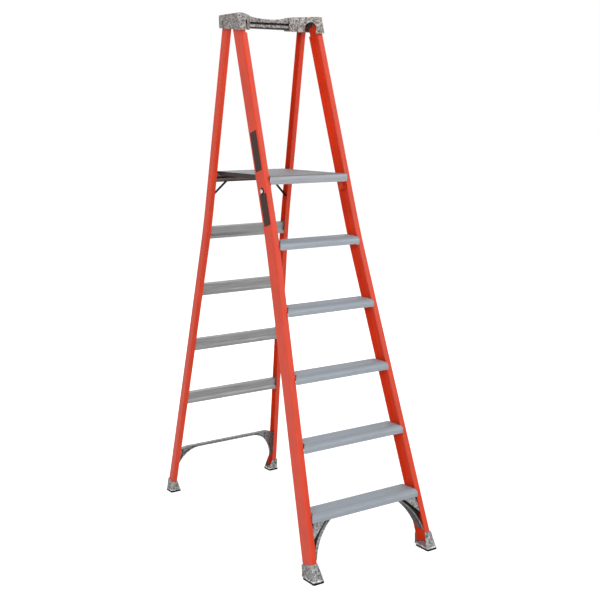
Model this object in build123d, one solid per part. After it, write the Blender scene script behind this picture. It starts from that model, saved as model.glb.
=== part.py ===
from build123d import *
from collections import namedtuple
from math import cos, radians, sin, tan
import os

# Platform ladder, in millimetres. +Z is up, the climber faces +Y, and X runs across the treads.
# The origin is on the floor, at the middle of the footprint.

# Frame angles and places on the floor
FRONT_LEAN = 17.43            # front rails lean back by this angle
REAR_LEAN = 11.2              # rear rails lean forward by this angle
FRONT_FACE_Y = -702.0         # front face of the front rails, at the floor
REAR_FACE_Y = 712.0           # rear face of the rear rails, at the floor
STEP_PITCH = 304.8            # tread to tread, along the front rails
FIRST_TREAD_Z = 282.8         # top of the lowest tread
TREAD_COUNT = 5

# Fibreglass channel rails, which flare outwards below a gentle bend
FRONT_WEB, FRONT_FLANGE, FRONT_WALL = 75.5, 29.2, 4.5
REAR_WEB, REAR_FLANGE, REAR_WALL = 46.0, 25.8, 4.0
FRONT_BEND_HALF, FRONT_BEND_Z = 247.4, 1457.5
REAR_BEND_HALF, REAR_BEND_Z = 243.9, 1454.0
FRONT_FLARE_LOW, FRONT_FLARE_HIGH = 0.0663, 0.0204
REAR_FLARE_LOW, REAR_FLARE_HIGH = 0.0634, 0.0193
BEND_RADIUS = 4700.0
RAIL_RUN = 150.0              # edges longer than this run along a rail
RAIL_CORNER = 5.0             # outer corner round of a rail
RAIL_TIP = 1.4                # round on the flange tips
FRONT_RAIL_TOP_Z = 2462.0
FRONT_TOP_ROUND, REAR_TOP_ROUND = 32.0, 22.95
FRONT_TIP_CLIP = 8.0          # trimmed off the front rails' flanges inside the guard

# Treads
NOSE_OUT = 17.0               # nose in front of the rails' front face
NOSE_LAP = 5.0                # nose end over the front flange
NOSE_END_ROUND = 7.0          # round of the nose ends, seen from above
NOSE_PLUG_LENGTH, NOSE_PLUG_DEPTH = 16.0, 18.0   # solid ends of a nose
TREAD_END_GAP = 11.5          # between a tread's end and the flange tips
TREAD_SHEET = 3.0
TREAD_LIP = 38.6
TREAD_REAR_LIP = 26.0
LIP_RETURN = 9.0
NOSE_ROUND = 16.0             # top front edge
LIP_CORNER, DECK_LIP_CORNER = 10.0, 16.0
GROOVE_WIDTH, GROOVE_DEPTH, GROOVE_PITCH = 2.6, 1.0, 9.0
FIT_GAP = 0.5                 # air round parts that are only riveted at one face
BRACKET_SHEET, BRACKET_DEPTH = 3.0, 44.0
BRACKET_SHELF, BRACKET_LEG = 23.0, 26.0     # shelf below the tread's top, and leg below the shelf
BRACKET_STEP, BRACKET_REACH = 6.0, 36.0     # riser in from the tread's end, and flange in from the riser

# Platform
DECK_HALF = 201.0
DECK_SHEET = 3.6
DECK_EDGE, DECK_EDGE_RUN = 7.0, 4.0   # deck thickness over the rest bar, and how far before the bar it starts
DECK_SIDE_DROP = 20.0
DECK_HOOK_DROP = 24.0
DECK_RIB_DROP, DECK_RIB_SHEET, DECK_RIB_COUNT = 15.0, 3.0, 4
DECK_GROOVE_MARGIN, DECK_GROOVE_COUNT = 18.0, 22
SKIRT_GAP = 2.0
ARM_SHEET, ARM_ROUND, ARM_TOP_LENGTH = 5.0, 12.0, 54.0
PIVOT_Z, PIVOT_BACK = 1667.7, 38.0
PIVOT_R, RUNNING_GAP = 5.0, 0.06
SPACER_R = 10.0
PEEN_R, PEEN_T = 6.5, 2.0

# Top guard
GUARD_HALF = 237.5
GUARD_LEAD = 9.0              # front of the guard ends before the rails, square to the rails
GUARD_REAR_Y = 248.0
GUARD_TOP_Z, GUARD_BOTTOM_Z = 2475.0, 2395.5
GUARD_REAR_RISE = 20.5        # the lower edge climbs by this much towards the rear
GUARD_WALL, GUARD_CORNER, GUARD_EDGE = 4.5, 10.0, 3.0
LEG_INNER_X, REAR_INNER_X = 205.0, 205.0   # inner ends of the guard ends' front and rear faces
ARM_END_X, ARM_FRONT_Y, ARM_REAR_Y = 112.0, 166.0, 214.0
NOTCH_X, NOTCH_WIDTH, NOTCH_TOP_Z, NOTCH_REACH = 176.0, 58.0, 2450.0, 18.0
BAR_FRONT_Y, BAR_DEPTH = 172.0, 36.0
BAR_TOP_Z, BAR_HEIGHT = 2470.0, 53.0
BAR_DIP, BAR_DIP_HALF = 9.0, 100.0
BAR_SOCKET = 38.0
BAR_WALL = 3.2
BAR_GROOVE_TOP_Z, BAR_GROOVE_HEIGHT, BAR_GROOVE_DEPTH = 2445.5, 10.5, 9.0
HINGE_Z = 2436.0
HINGE_PIN_R, HINGE_BUSH_R, HINGE_BOSS_R = 5.0, 9.5, 14.0
PIN_HEAD_R, PIN_HEAD_T, PIN_HEAD_DOME, PIN_NUT_R = 9.5, 5.0, 3.0, 8.5
LUG_X, LUG_SHEET, LUG_HALF = 188.0, 5.0, 17.0
RAIL_PAD_LOW_Z, RAIL_PAD_DEPTH = 2408.0, 52.0

# Rear bars, counted upwards
REAR_BAR_FIRST_Z, REAR_BAR_PITCH, REAR_BAR_COUNT = 562.3, 296.8, 4
REAR_BAR_HEIGHT, REAR_BAR_SHEET = 57.0, 2.6
REAR_BAR_FACE, REAR_BAR_REAR = 14.0, 36.0   # depth of the bar's face and of its top flange
REAR_BAR_KICK, REAR_BAR_SLOPE, REAR_BAR_RETURN = 36.0, 9.0, 8.0
REST_TOP_Z, REST_HEIGHT = 1729.5, 45.0
REST_FRONT_Y, REST_DEPTH = 336.6, 28.4
REST_WALL, REST_GROOVE_HEIGHT, REST_GROOVE_DEPTH = 3.0, 8.0, 7.0
REST_EAR_START, REST_EAR_END, REST_EAR_RISE = 24.0, 8.0, 7.0   # ears on the rest bar, in from its ends
REST_BRACKET_RISE, REST_BRACKET_DROP, REST_BRACKET_SHEET = 8.0, 16.0, 4.0
STRUT_WIDTH, STRUT_SHEET = 11.0, 3.5
STRUT_LOW, STRUT_HIGH = (227.0, 1590.0), (125.0, 1688.0)
STRUT_FACE = 35.4

# Cast braces at the foot of each frame
FRONT_ARCH_X, FRONT_ARCH_Z, FRONT_ARCH_R = 55.7, 25.2, 257.0
BRACE_INNER_X, BRACE_LOW_Z = 185.0, 92.0
BRACE_FRONT, BRACE_VALLEY, BRACE_REAR = 4.0, 20.0, 62.0   # depths behind the rails' front face
BRACE_EDGE, BRACE_BEVEL = 2.0, 14.0         # rim of the arch at its front edge and at the valley behind it
BRACE_RIM, BRACE_PLATE = 6.0, 5.0
CHORD_HIGH, CHORD_LOW = (222.0, 246.0), (306.0, 171.0)    # straight edge of the corner plate
CORNER_GAP = [(286.0, 250.0), (302.0, 207.0), (320.0, 207.0), (320.0, 250.0)]
BRACE_TAB_LOW, BRACE_TAB_HIGH = 130.0, 205.0
REAR_ARCH_X, REAR_ARCH_Z = 170.0, 55.0
REAR_ARCH_A, REAR_ARCH_B = 136.0, 170.5
FOOT_BAR_TOP_Z, FOOT_BAR_LOW_Z = 240.0, 80.0
FOOT_BAR_FRONT, FOOT_BAR_REAR = 29.5, 41.5     # depths behind the rear rails' front face
FOOT_BAR_RIM, FOOT_BAR_PLATE = 6.0, 4.0
FOOT_BAR_FALL_X, FOOT_BAR_FALL = 255.0, 0.33   # where the top edge starts to slope down, and how steeply
GUSSET_RIB_X = 262.0

# Cast boots and rubber pads
PAD_T = 9.5
SOLE_TOP = 17.0
SOLE_RIM, SOLE_STEP = 3.5, 1.5              # upright edge of a sole, and the step in above it
SOLE_FLOOR, SOLE_LIP = 2.5, 5.0             # floor under a sole's pocket, and the lip on its inner side
BOOT_WALL = 4.8
BOOT_CLEAR = 0.4
BOOT_LIP_IN = 3.0
FRONT_BOOT_TOP, REAR_BOOT_TOP = 83.0, 62.0
FRONT_BOOT_REAR_Y = -614.0    # the front boots reach back past their pads
FRONT_PAD = (294.0, 352.5, -714.0, -626.5)   # inner x, outer x, front y, rear y
REAR_PAD = (284.0, 342.0, 652.5, 714.0)
PAD_CORNER, PAD_GROOVE, PAD_GROOVE_DEPTH, PAD_GROOVES = 7.0, 4.0, 2.5, 4

BIG = 400.0                   # reach of cutting blocks
OVERCUT = 1.0                 # how far a cut runs past the face that it opens
SAME_POINT = 0.01             # corners closer than this are one corner
SIDES = {"left": -1, "right": 1}

Frame = namedtuple("Frame", "lean place bend_half bend_z flare_low flare_high web flange wall")
REAR_FRONT_Y = REAR_FACE_Y - REAR_WEB / cos(radians(REAR_LEAN))
FRONT = Frame(
    FRONT_LEAN, Location((0, FRONT_FACE_Y, 0), (-FRONT_LEAN, 0, 0)),
    FRONT_BEND_HALF, FRONT_BEND_Z, FRONT_FLARE_LOW, FRONT_FLARE_HIGH,
    FRONT_WEB, FRONT_FLANGE, FRONT_WALL,
)
REAR = Frame(
    REAR_LEAN, Location((0, REAR_FRONT_Y, 0), (REAR_LEAN, 0, 0)),
    REAR_BEND_HALF, REAR_BEND_Z, REAR_FLARE_LOW, REAR_FLARE_HIGH,
    REAR_WEB, REAR_FLANGE, REAR_WALL,
)
STEP_RISE = STEP_PITCH * cos(radians(FRONT_LEAN))
DECK_Z = FIRST_TREAD_Z + TREAD_COUNT * STEP_RISE
DECK_REAR_Y = REST_FRONT_Y + REST_DEPTH + FIT_GAP + TREAD_SHEET
PIVOT_Y = FRONT_FACE_Y + PIVOT_Z * tan(radians(FRONT_LEAN)) + PIVOT_BACK
HINGE_Y = REAR_FACE_Y - HINGE_Z * tan(radians(REAR_LEAN)) - REAR_WEB / 2 / cos(radians(REAR_LEAN))
REAR_TOP = (HINGE_Z - REAR_WEB / 2 * sin(radians(REAR_LEAN))) / cos(radians(REAR_LEAN)) + REAR_WEB / 2
FRONT_TOP = FRONT_RAIL_TOP_Z / cos(radians(FRONT_LEAN))


# Shared geometry of the two leaning frames


def along(frame, z):
    """Distance up a leaning frame's face for a height above the floor."""
    return z / cos(radians(frame.lean))


def half_width(frame, v):
    """Half the width over the rails' outer faces, at a distance up the frame."""
    z = v * cos(radians(frame.lean))
    flare = frame.flare_low if z < frame.bend_z else frame.flare_high
    return frame.bend_half + flare * (frame.bend_z - z)


def front_face_y(z):
    """Front face of the front rails at a height."""
    return FRONT_FACE_Y + z * tan(radians(FRONT_LEAN))


def band(frame, side, outset, inset, low, high):
    """Outline that follows a rail, between two insets from its outer face."""
    bend = along(frame, frame.bend_z)
    outer = [(side * (half_width(frame, v) + outset), v) for v in (low, bend, high)]
    inner = [(side * (half_width(frame, v) - inset), v) for v in (high, bend, low)]
    face = make_face(Polyline(*outer, *inner, close=True))
    corners = face.vertices().filter_by(lambda p: abs(p.Y - bend) < SAME_POINT)
    return fillet(corners, BEND_RADIUS)


def slab(face, front, rear):
    """Extrude an outline drawn on a frame's face from one depth to another."""
    return Pos(0, front, 0) * Rot(90, 0, 0) * extrude(face, amount=front - rear)


def block(x0, x1, y0, y1, z0, z1):
    """Box between two corners."""
    size = Box(x1 - x0, y1 - y0, z1 - z0)
    return Pos((x0 + x1) / 2, (y0 + y1) / 2, (z0 + z1) / 2) * size


def below(z):
    """Everything under a height."""
    return block(-BIG * 2, BIG * 2, -BIG * 3, BIG * 3, z - BIG, z)


def above(z):
    """Everything over a height."""
    return block(-BIG * 2, BIG * 2, -BIG * 3, BIG * 3, z, z + BIG)


def rod(radius, x0, x1, y, z):
    """Round bar across the ladder."""
    return Pos((x0 + x1) / 2, y, z) * Rot(0, 90, 0) * Cylinder(radius, abs(x1 - x0))


def outline(points, rounds):
    """Closed outline, with a radius at each corner that has one."""
    face = make_face(Polyline(*points, close=True))
    for point, radius in rounds.items():
        target = Vector(*point, 0)
        corner = face.vertices().filter_by(lambda p: (Vector(p) - target).length < SAME_POINT)
        face = fillet(corner, radius)
    return face


def mirrored(part, side):
    """A right-hand part, or its mirror image for the left."""
    return part if side > 0 else mirror(part, about=Plane.YZ)


# Rails


def rail(frame, side, top, top_round):
    """Channel rail with its web outside, bent once, with a round top end."""
    body = slab(band(frame, side, 0, frame.flange, 0, top), 0, frame.web)
    core = band(frame, side, -frame.wall, frame.flange + OVERCUT, -OVERCUT, top + OVERCUT)
    body -= slab(core, frame.wall, frame.web - frame.wall)

    def inset(edge):
        return half_width(frame, edge.center().Z) - abs(edge.center().X)

    runs = body.edges().filter_by(lambda e: e.length > RAIL_RUN)
    body = fillet(runs.filter_by(lambda e: inset(e) < frame.wall / 2), RAIL_CORNER)
    runs = body.edges().filter_by(lambda e: e.length > RAIL_RUN)
    body = fillet(runs.filter_by(lambda e: inset(e) > frame.flange - frame.wall / 2), RAIL_TIP)
    profile = Pos(frame.web / 2, top / 2) * Rectangle(frame.web, top)
    profile = fillet(profile.vertices().group_by(Axis.Y)[-1], top_round)
    body &= extrude(Plane.YZ * profile, amount=BIG, both=True)
    return frame.place * body - below(SOLE_TOP)


def front_rail(side):
    """Front rail, drilled for the platform's pivot and trimmed to fit inside the guard."""
    body = rail(FRONT, side, FRONT_TOP, FRONT_TOP_ROUND)
    body -= rod(PIVOT_R + RUNNING_GAP, 0, side * BIG, PIVOT_Y, PIVOT_Z)
    low = GUARD_BOTTOM_Z - GUARD_CORNER
    tip = half_width(FRONT, along(FRONT, low)) - FRONT_FLANGE
    return body - mirrored(block(0, tip + FRONT_TIP_CLIP, -BIG, BIG, low, low + BIG), side)


def rear_rail(side):
    """Rear rail, with a full round top about the hinge it turns on."""
    body = rail(REAR, side, REAR_TOP, REAR_TOP_ROUND)
    return body - rod(HINGE_PIN_R + RUNNING_GAP, 0, side * BIG, HINGE_Y, HINGE_Z)


# Treads and their brackets


def nose_profile(depth, groove_count):
    """Section of a tread: round nose, deep front lip with a return, ribbed top."""
    sheet = TREAD_SHEET
    points = [
        (0, -TREAD_LIP), (0, 0), (depth, 0), (depth, -TREAD_REAR_LIP),
        (depth - sheet, -TREAD_REAR_LIP), (depth - sheet, -sheet), (sheet, -sheet),
        (sheet, sheet - TREAD_LIP), (LIP_RETURN, sheet - TREAD_LIP), (LIP_RETURN, -TREAD_LIP),
    ]
    rounds = {(0, 0): NOSE_ROUND, (sheet, -sheet): NOSE_ROUND - sheet, (depth, 0): sheet}
    return outline(points, rounds) - grooves(NOSE_ROUND + GROOVE_PITCH / 2, groove_count)


def grooves(start, count):
    """Shallow slip-resisting grooves in a top face."""
    cut = Rectangle(GROOVE_WIDTH, 2 * GROOVE_DEPTH)
    return Sketch() + [Pos(start + i * GROOVE_PITCH, 0) * cut for i in range(count)]


def corner_round(x, y, radius):
    """What lies outside a rounded corner, for a corner at the lower right of an outline."""
    reach = 2 * radius
    square = Pos(x - radius, y + radius) * Rectangle(reach, reach, align=(Align.MIN, Align.MAX))
    return square - Pos(x - radius, y + radius) * Circle(radius)


def with_ends(body, z_top, end_gap, lip_round):
    """A tread or deck with solid, rounded nose ends, trimmed to fit between the rails."""
    low = z_top - TREAD_LIP
    nose = front_face_y(z_top) - NOSE_OUT
    end = half_width(FRONT, along(FRONT, low)) - FRONT_FLANGE + NOSE_LAP
    points = [(0, -TREAD_LIP), (0, 0), (NOSE_PLUG_DEPTH, 0), (NOSE_PLUG_DEPTH, -TREAD_LIP)]
    section = Plane.YZ * Pos(nose, z_top) * outline(points, {(0, 0): NOSE_ROUND})
    plug = Pos(end - NOSE_PLUG_LENGTH, 0, 0) * extrude(section, amount=NOSE_PLUG_LENGTH)
    rounds = slab(corner_round(end, low, lip_round), nose - OVERCUT, nose + NOSE_OUT)
    plan_round = extrude(corner_round(end, nose, NOSE_END_ROUND), amount=2 * TREAD_LIP)
    rounds += Pos(0, 0, low - OVERCUT) * plan_round
    for side in SIDES.values():
        body += mirrored(plug, side)
        lap = band(FRONT, side, BIG, FRONT_FLANGE - NOSE_LAP, 0, FRONT_TOP)
        behind = band(FRONT, side, BIG, FRONT_FLANGE + end_gap, 0, FRONT_TOP)
        body -= FRONT.place * (slab(lap, -BIG, BIG) + slab(behind, -FIT_GAP, BIG))
        body -= mirrored(rounds, side)
    return body


def tread(number):
    """One tread between the rails, with its nose ends lapped over their front flanges."""
    z_top = FIRST_TREAD_Z + (number - 1) * STEP_RISE
    depth = NOSE_OUT + FRONT_WEB / cos(radians(FRONT_LEAN))
    place = Plane.YZ * Pos(front_face_y(z_top) - NOSE_OUT, z_top)
    groove_count = int((depth - NOSE_ROUND) / GROOVE_PITCH)
    body = extrude(place * nose_profile(depth, groove_count), amount=BIG, both=True)
    return with_ends(body, z_top, TREAD_END_GAP, LIP_CORNER)


def inside_rail(side, near, far, low, high):
    """Block in the middle of a front rail's depth, between two insets and two heights."""
    mid = FRONT_WEB / 2
    face = band(FRONT, side, -near, far, 0, FRONT_TOP)
    body = FRONT.place * slab(face, mid - BRACKET_DEPTH / 2, mid + BRACKET_DEPTH / 2)
    return body & below(high) & above(low)


def tread_bracket(number, side):
    """Stepped bracket from a rail's web to the underside of a tread's end."""
    z_top = FIRST_TREAD_Z + (number - 1) * STEP_RISE
    shelf, under = z_top - BRACKET_SHELF, z_top - TREAD_SHEET
    riser = FRONT_FLANGE + TREAD_END_GAP + BRACKET_STEP
    sheet = BRACKET_SHEET
    leg = inside_rail(side, FRONT_WALL, FRONT_WALL + sheet, shelf - BRACKET_LEG, shelf)
    leg += inside_rail(side, FRONT_WALL, riser + sheet, shelf - sheet, shelf)
    leg += inside_rail(side, riser, riser + sheet, shelf - sheet, under)
    return leg + inside_rail(side, riser, riser + BRACKET_REACH, under - sheet, under)


# Platform


def platform_deck():
    """Deck with the treads' nose in front, side skirts, ribs, and a hook over the rest bar."""
    nose = front_face_y(DECK_Z) - NOSE_OUT
    depth = DECK_REAR_Y - nose
    sheet = TREAD_SHEET
    rest = REST_FRONT_Y - nose
    thick = rest - DECK_EDGE_RUN
    points = [
        (0, -TREAD_LIP), (0, 0), (depth, 0), (depth, -DECK_HOOK_DROP),
        (depth - sheet, -DECK_HOOK_DROP), (depth - sheet, -DECK_EDGE), (thick, -DECK_EDGE),
        (thick, -DECK_SHEET), (sheet, -DECK_SHEET), (sheet, sheet - TREAD_LIP),
        (LIP_RETURN, sheet - TREAD_LIP), (LIP_RETURN, -TREAD_LIP),
    ]
    rounds = {(0, 0): NOSE_ROUND, (sheet, -DECK_SHEET): NOSE_ROUND - sheet, (depth, 0): sheet}
    section = outline(points, rounds)
    pitch = (depth - 2 * DECK_GROOVE_MARGIN) / DECK_GROOVE_COUNT
    cut = Rectangle(GROOVE_WIDTH, 2 * GROOVE_DEPTH)
    section -= [Pos(DECK_GROOVE_MARGIN + i * pitch, 0) * cut for i in range(DECK_GROOVE_COUNT + 1)]
    rib_pitch = rest / (DECK_RIB_COUNT + 1)
    rib = Rectangle(DECK_RIB_SHEET, DECK_RIB_DROP - DECK_SHEET / 2, align=(Align.CENTER, Align.MAX))
    section += [Pos((i + 1) * rib_pitch, -DECK_SHEET / 2) * rib for i in range(DECK_RIB_COUNT)]
    place = Plane.YZ * Pos(nose, DECK_Z)
    body = with_ends(extrude(place * section, amount=BIG, both=True), DECK_Z, FIT_GAP, DECK_LIP_CORNER)
    skirt_start, skirt_end = LIP_RETURN + SKIRT_GAP, rest - SKIRT_GAP
    skirt_points = [
        (skirt_start, -DECK_SHEET / 2), (skirt_end, -DECK_SHEET / 2), (skirt_end, -DECK_EDGE),
        (skirt_end - DECK_SIDE_DROP, -DECK_SIDE_DROP), (skirt_start, -DECK_SIDE_DROP),
    ]
    skirt = extrude(place * make_face(Polyline(*skirt_points, close=True)), amount=TREAD_SHEET)
    skirt = Pos(DECK_HALF - TREAD_SHEET, 0, 0) * skirt
    start = nose + NOSE_OUT - TREAD_SHEET - FIT_GAP
    beside = block(DECK_HALF, BIG, start, BIG, DECK_Z - BIG, DECK_Z + BIG)
    for side in SIDES.values():
        body -= mirrored(beside, side)
        body += mirrored(skirt, side)
    return body


def platform_arm(side):
    """Hanger plate beside the deck's skirt that carries the deck on its pivot bolt."""
    top = DECK_Z - DECK_SHEET
    front, rear = PIVOT_Y - ARM_ROUND, PIVOT_Y + ARM_ROUND
    points = [
        (front, PIVOT_Z), (front, top), (front + ARM_TOP_LENGTH, top),
        (front + ARM_TOP_LENGTH, top - DECK_RIB_DROP), (rear, PIVOT_Z),
    ]
    face = make_face(Polyline(*points, close=True)) + Pos(PIVOT_Y, PIVOT_Z) * Circle(ARM_ROUND)
    body = Pos(DECK_HALF, 0, 0) * extrude(Plane.YZ * face, amount=ARM_SHEET)
    return mirrored(body - rod(PIVOT_R + RUNNING_GAP, 0, BIG, PIVOT_Y, PIVOT_Z), side)


def headed_pin(radius, head_x, tip_x, collar_r, collar_t, y, z):
    """Pin with a low domed head outside and a collar at its tip."""
    pin = rod(radius, tip_x, head_x, y, z)
    head = rod(PIN_HEAD_R, head_x, head_x + PIN_HEAD_T, y, z)
    rim = head.edges().group_by(Axis.X)[-1]
    collar = rod(collar_r, tip_x - collar_t, tip_x, y, z)
    return pin + fillet(rim, PIN_HEAD_DOME) + collar


def platform_pivot_bolt(side):
    """Bolt through the front rail's web that the platform's arm turns on, with its tip peened over."""
    head, tip = half_width(FRONT, along(FRONT, PIVOT_Z)) + FIT_GAP, DECK_HALF - FIT_GAP
    return mirrored(headed_pin(PIVOT_R, head, tip, PEEN_R, PEEN_T, PIVOT_Y, PIVOT_Z), side)


def platform_spacer(side):
    """Sleeve that holds the platform's arm off the rail's web."""
    web = half_width(FRONT, along(FRONT, PIVOT_Z)) - FRONT_WALL
    arm = DECK_HALF + ARM_SHEET + FIT_GAP
    sleeve = rod(SPACER_R, arm, web - FIT_GAP, PIVOT_Y, PIVOT_Z)
    return mirrored(sleeve - rod(PIVOT_R + RUNNING_GAP, 0, BIG, PIVOT_Y, PIVOT_Z), side)


# Top guard


def guard_plan(front_y, inset):
    """Plan of a guard end at one height, drawn in by a wall thickness."""
    points = [
        (GUARD_HALF, front_y), (LEG_INNER_X, front_y), (ARM_END_X, ARM_FRONT_Y),
        (ARM_END_X, ARM_REAR_Y), (REAR_INNER_X, GUARD_REAR_Y), (GUARD_HALF, GUARD_REAR_Y),
    ]
    corners = {points[0]: GUARD_CORNER, points[1]: GUARD_CORNER, points[5]: GUARD_CORNER}
    corners[points[4]] = 2 * GUARD_CORNER
    face = outline(points, corners)
    return offset(face, -inset) if inset else face


def guard_block(inset):
    """Outer form of a guard end, whose front leans with the rails, or its hollow."""
    low = GUARD_BOTTOM_Z - GUARD_CORNER
    high = GUARD_TOP_Z - inset
    lead = GUARD_LEAD / cos(radians(FRONT_LEAN))
    plans = [Pos(0, 0, z) * guard_plan(front_face_y(z) - lead, inset) for z in (low, high)]
    return loft(plans, ruled=True)


def guard_end(side):
    """Hollow cast end of the guard: a cap over both rails, with an arm out to the bar."""
    body = guard_block(0)
    body = fillet(body.edges().group_by(Axis.Z)[-1], GUARD_EDGE) - guard_block(GUARD_WALL)

    front = front_face_y(GUARD_BOTTOM_Z) - GUARD_LEAD
    low = GUARD_BOTTOM_Z - 2 * GUARD_CORNER
    under = [
        (front, GUARD_BOTTOM_Z), (GUARD_REAR_Y, GUARD_BOTTOM_Z + GUARD_REAR_RISE),
        (GUARD_REAR_Y + OVERCUT, GUARD_BOTTOM_Z + GUARD_REAR_RISE), (GUARD_REAR_Y + OVERCUT, low),
        (front - GUARD_CORNER, low), (front - GUARD_CORNER, GUARD_BOTTOM_Z),
    ]
    body -= extrude(Plane.YZ * make_face(Polyline(*under, close=True)), amount=BIG)

    web = half_width(REAR, along(REAR, HINGE_Z))
    body += rod(HINGE_BOSS_R, web + 3 * FIT_GAP, GUARD_HALF - OVERCUT, HINGE_Y, HINGE_Z)
    roof = GUARD_TOP_Z - GUARD_WALL / 2
    lug = Pos(HINGE_Y, (HINGE_Z + roof) / 2) * Rectangle(2 * LUG_HALF, roof - HINGE_Z)
    lug += Pos(HINGE_Y, HINGE_Z) * Circle(LUG_HALF)
    body += Pos(LUG_X, 0, 0) * extrude(Plane.YZ * lug, amount=LUG_SHEET)
    body -= rod(HINGE_PIN_R + RUNNING_GAP, 0, BIG, HINGE_Y, HINGE_Z)
    body -= rod(PIN_HEAD_R + FIT_GAP, GUARD_HALF - PIN_HEAD_T - FIT_GAP, BIG, HINGE_Y, HINGE_Z)

    half_pad = RAIL_PAD_DEPTH / 2
    pad = FRONT.place * slab(
        band(FRONT, 1, GUARD_HALF - web, -FIT_GAP / 2, 0, FRONT_TOP),
        FRONT_WEB / 2 - half_pad, FRONT_WEB / 2 + half_pad,
    )
    body += pad & block(0, GUARD_HALF - OVERCUT, 0, BIG, RAIL_PAD_LOW_Z, GUARD_TOP_Z - GUARD_WALL)

    run = Vector(ARM_END_X - LEG_INNER_X, ARM_FRONT_Y - front, 0).normalized()
    share = (LEG_INNER_X - NOTCH_X) / (LEG_INNER_X - ARM_END_X)
    spring = Vector(NOTCH_X, front + share * (ARM_FRONT_Y - front), NOTCH_TOP_Z - NOTCH_WIDTH / 2)
    wall_plane = Plane(spring, x_dir=run, z_dir=run.cross(Vector(0, 0, 1)))
    arch = Circle(NOTCH_WIDTH / 2) + Pos(0, -NOTCH_WIDTH / 2) * Rectangle(NOTCH_WIDTH, NOTCH_WIDTH)
    body -= extrude(wall_plane * arch, amount=NOTCH_REACH, both=True)

    body -= block(
        ARM_END_X - OVERCUT, ARM_END_X + 2 * GUARD_WALL,
        BAR_FRONT_Y - FIT_GAP, BAR_FRONT_Y + BAR_DEPTH + FIT_GAP,
        BAR_TOP_Z - BAR_HEIGHT - FIT_GAP, BAR_TOP_Z + FIT_GAP,
    )
    return mirrored(body, side)


def grooved_section(depth, height, wall, groove_drop, groove_height, groove_depth):
    """Section of a bar that is open at the back, with a groove along its front."""
    face = Rectangle(depth, height, align=(Align.MIN, Align.MAX))
    groove = Rectangle(groove_depth, groove_height, align=(Align.MIN, Align.MAX))
    face -= Pos(0, -groove_drop) * groove
    hollow = Rectangle(depth - groove_depth - wall, height - 2 * wall, align=(Align.MAX, Align.MAX))
    return face - Pos(depth, -wall) * hollow


def guard_bar():
    """Grooved bar between the guard ends, with a shallow dip along its top."""
    section = grooved_section(
        BAR_DEPTH, BAR_HEIGHT, BAR_WALL + BAR_DIP,
        BAR_TOP_Z - BAR_GROOVE_TOP_Z, BAR_GROOVE_HEIGHT, BAR_GROOVE_DEPTH,
    )
    place = Plane.YZ * Pos(BAR_FRONT_Y, BAR_TOP_Z)
    body = extrude(place * section, amount=ARM_END_X + BAR_SOCKET, both=True)
    sweep = (BAR_DIP_HALF**2 + BAR_DIP**2) / (2 * BAR_DIP)
    dip = Pos(0, BAR_FRONT_Y, BAR_TOP_Z - BAR_DIP + sweep) * Rot(90, 0, 0) * Cylinder(sweep, BIG)
    return body - dip


def rear_hinge_pin(side):
    """Pin through a guard end that a rear rail swings on, with its head let in flush."""
    head = GUARD_HALF - PIN_HEAD_T
    tip = LUG_X - FIT_GAP
    return mirrored(headed_pin(HINGE_PIN_R, head, tip, PIN_NUT_R, PIN_HEAD_T, HINGE_Y, HINGE_Z), side)


# Rear frame


def rear_hinge_bush(side):
    """Bush inside a rear rail's top that turns on the hinge pin."""
    web = half_width(REAR, along(REAR, HINGE_Z)) - REAR_WALL
    sleeve = rod(HINGE_BUSH_R, LUG_X + LUG_SHEET + 2 * FIT_GAP, web - FIT_GAP, HINGE_Y, HINGE_Z)
    return mirrored(sleeve - rod(HINGE_PIN_R + RUNNING_GAP, 0, BIG, HINGE_Y, HINGE_Z), side)


def rear_bar(number):
    """Bent sheet bar between the rear rails, with its lower edge kicked forward."""
    top = along(REAR, REAR_BAR_FIRST_Z + (number - 1) * REAR_BAR_PITCH)
    half_sheet = REAR_BAR_SHEET / 2
    front = REAR_WALL + FIT_GAP + half_sheet
    low = half_sheet - REAR_BAR_HEIGHT
    bends = [
        (REAR_BAR_REAR, -half_sheet), (REAR_BAR_FACE, -half_sheet), (REAR_BAR_FACE, -REAR_BAR_KICK),
        (front, -REAR_BAR_KICK - REAR_BAR_SLOPE), (front, low), (front + REAR_BAR_RETURN, low),
    ]
    section = trace(Polyline(*bends), REAR_BAR_SHEET)
    body = extrude(Plane.YZ * Pos(0, top) * section, amount=BIG, both=True)
    for side in SIDES.values():
        body -= slab(band(REAR, side, BIG, REAR_WALL + FIT_GAP, 0, REAR_TOP), -BIG, BIG)
    return REAR.place * body


def platform_rest_bar():
    """Grooved bar across the rear rails that the platform lies on."""
    section = grooved_section(
        REST_DEPTH, REST_HEIGHT, REST_WALL,
        (REST_HEIGHT - REST_GROOVE_HEIGHT) / 2, REST_GROOVE_HEIGHT, REST_GROOVE_DEPTH,
    )
    reach = half_width(REAR, along(REAR, REST_TOP_Z)) - REAR_WALL - REST_BRACKET_SHEET - FIT_GAP
    place = Plane.YZ * Pos(REST_FRONT_Y, REST_TOP_Z)
    body = extrude(place * section, amount=reach, both=True)
    high, low = REST_TOP_Z + REST_EAR_RISE, REST_TOP_Z - REST_WALL
    ear_points = [(reach - REST_EAR_START, low), (reach - REST_EAR_START, REST_TOP_Z)]
    ear_points += [(reach - REST_EAR_END, high), (reach, high), (reach, low)]
    ear_rear = REST_FRONT_Y + REST_DEPTH - REST_WALL
    ear = slab(make_face(Polyline(*ear_points, close=True)), REST_FRONT_Y, ear_rear)
    return body + [mirrored(ear, side) for side in SIDES.values()]


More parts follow.
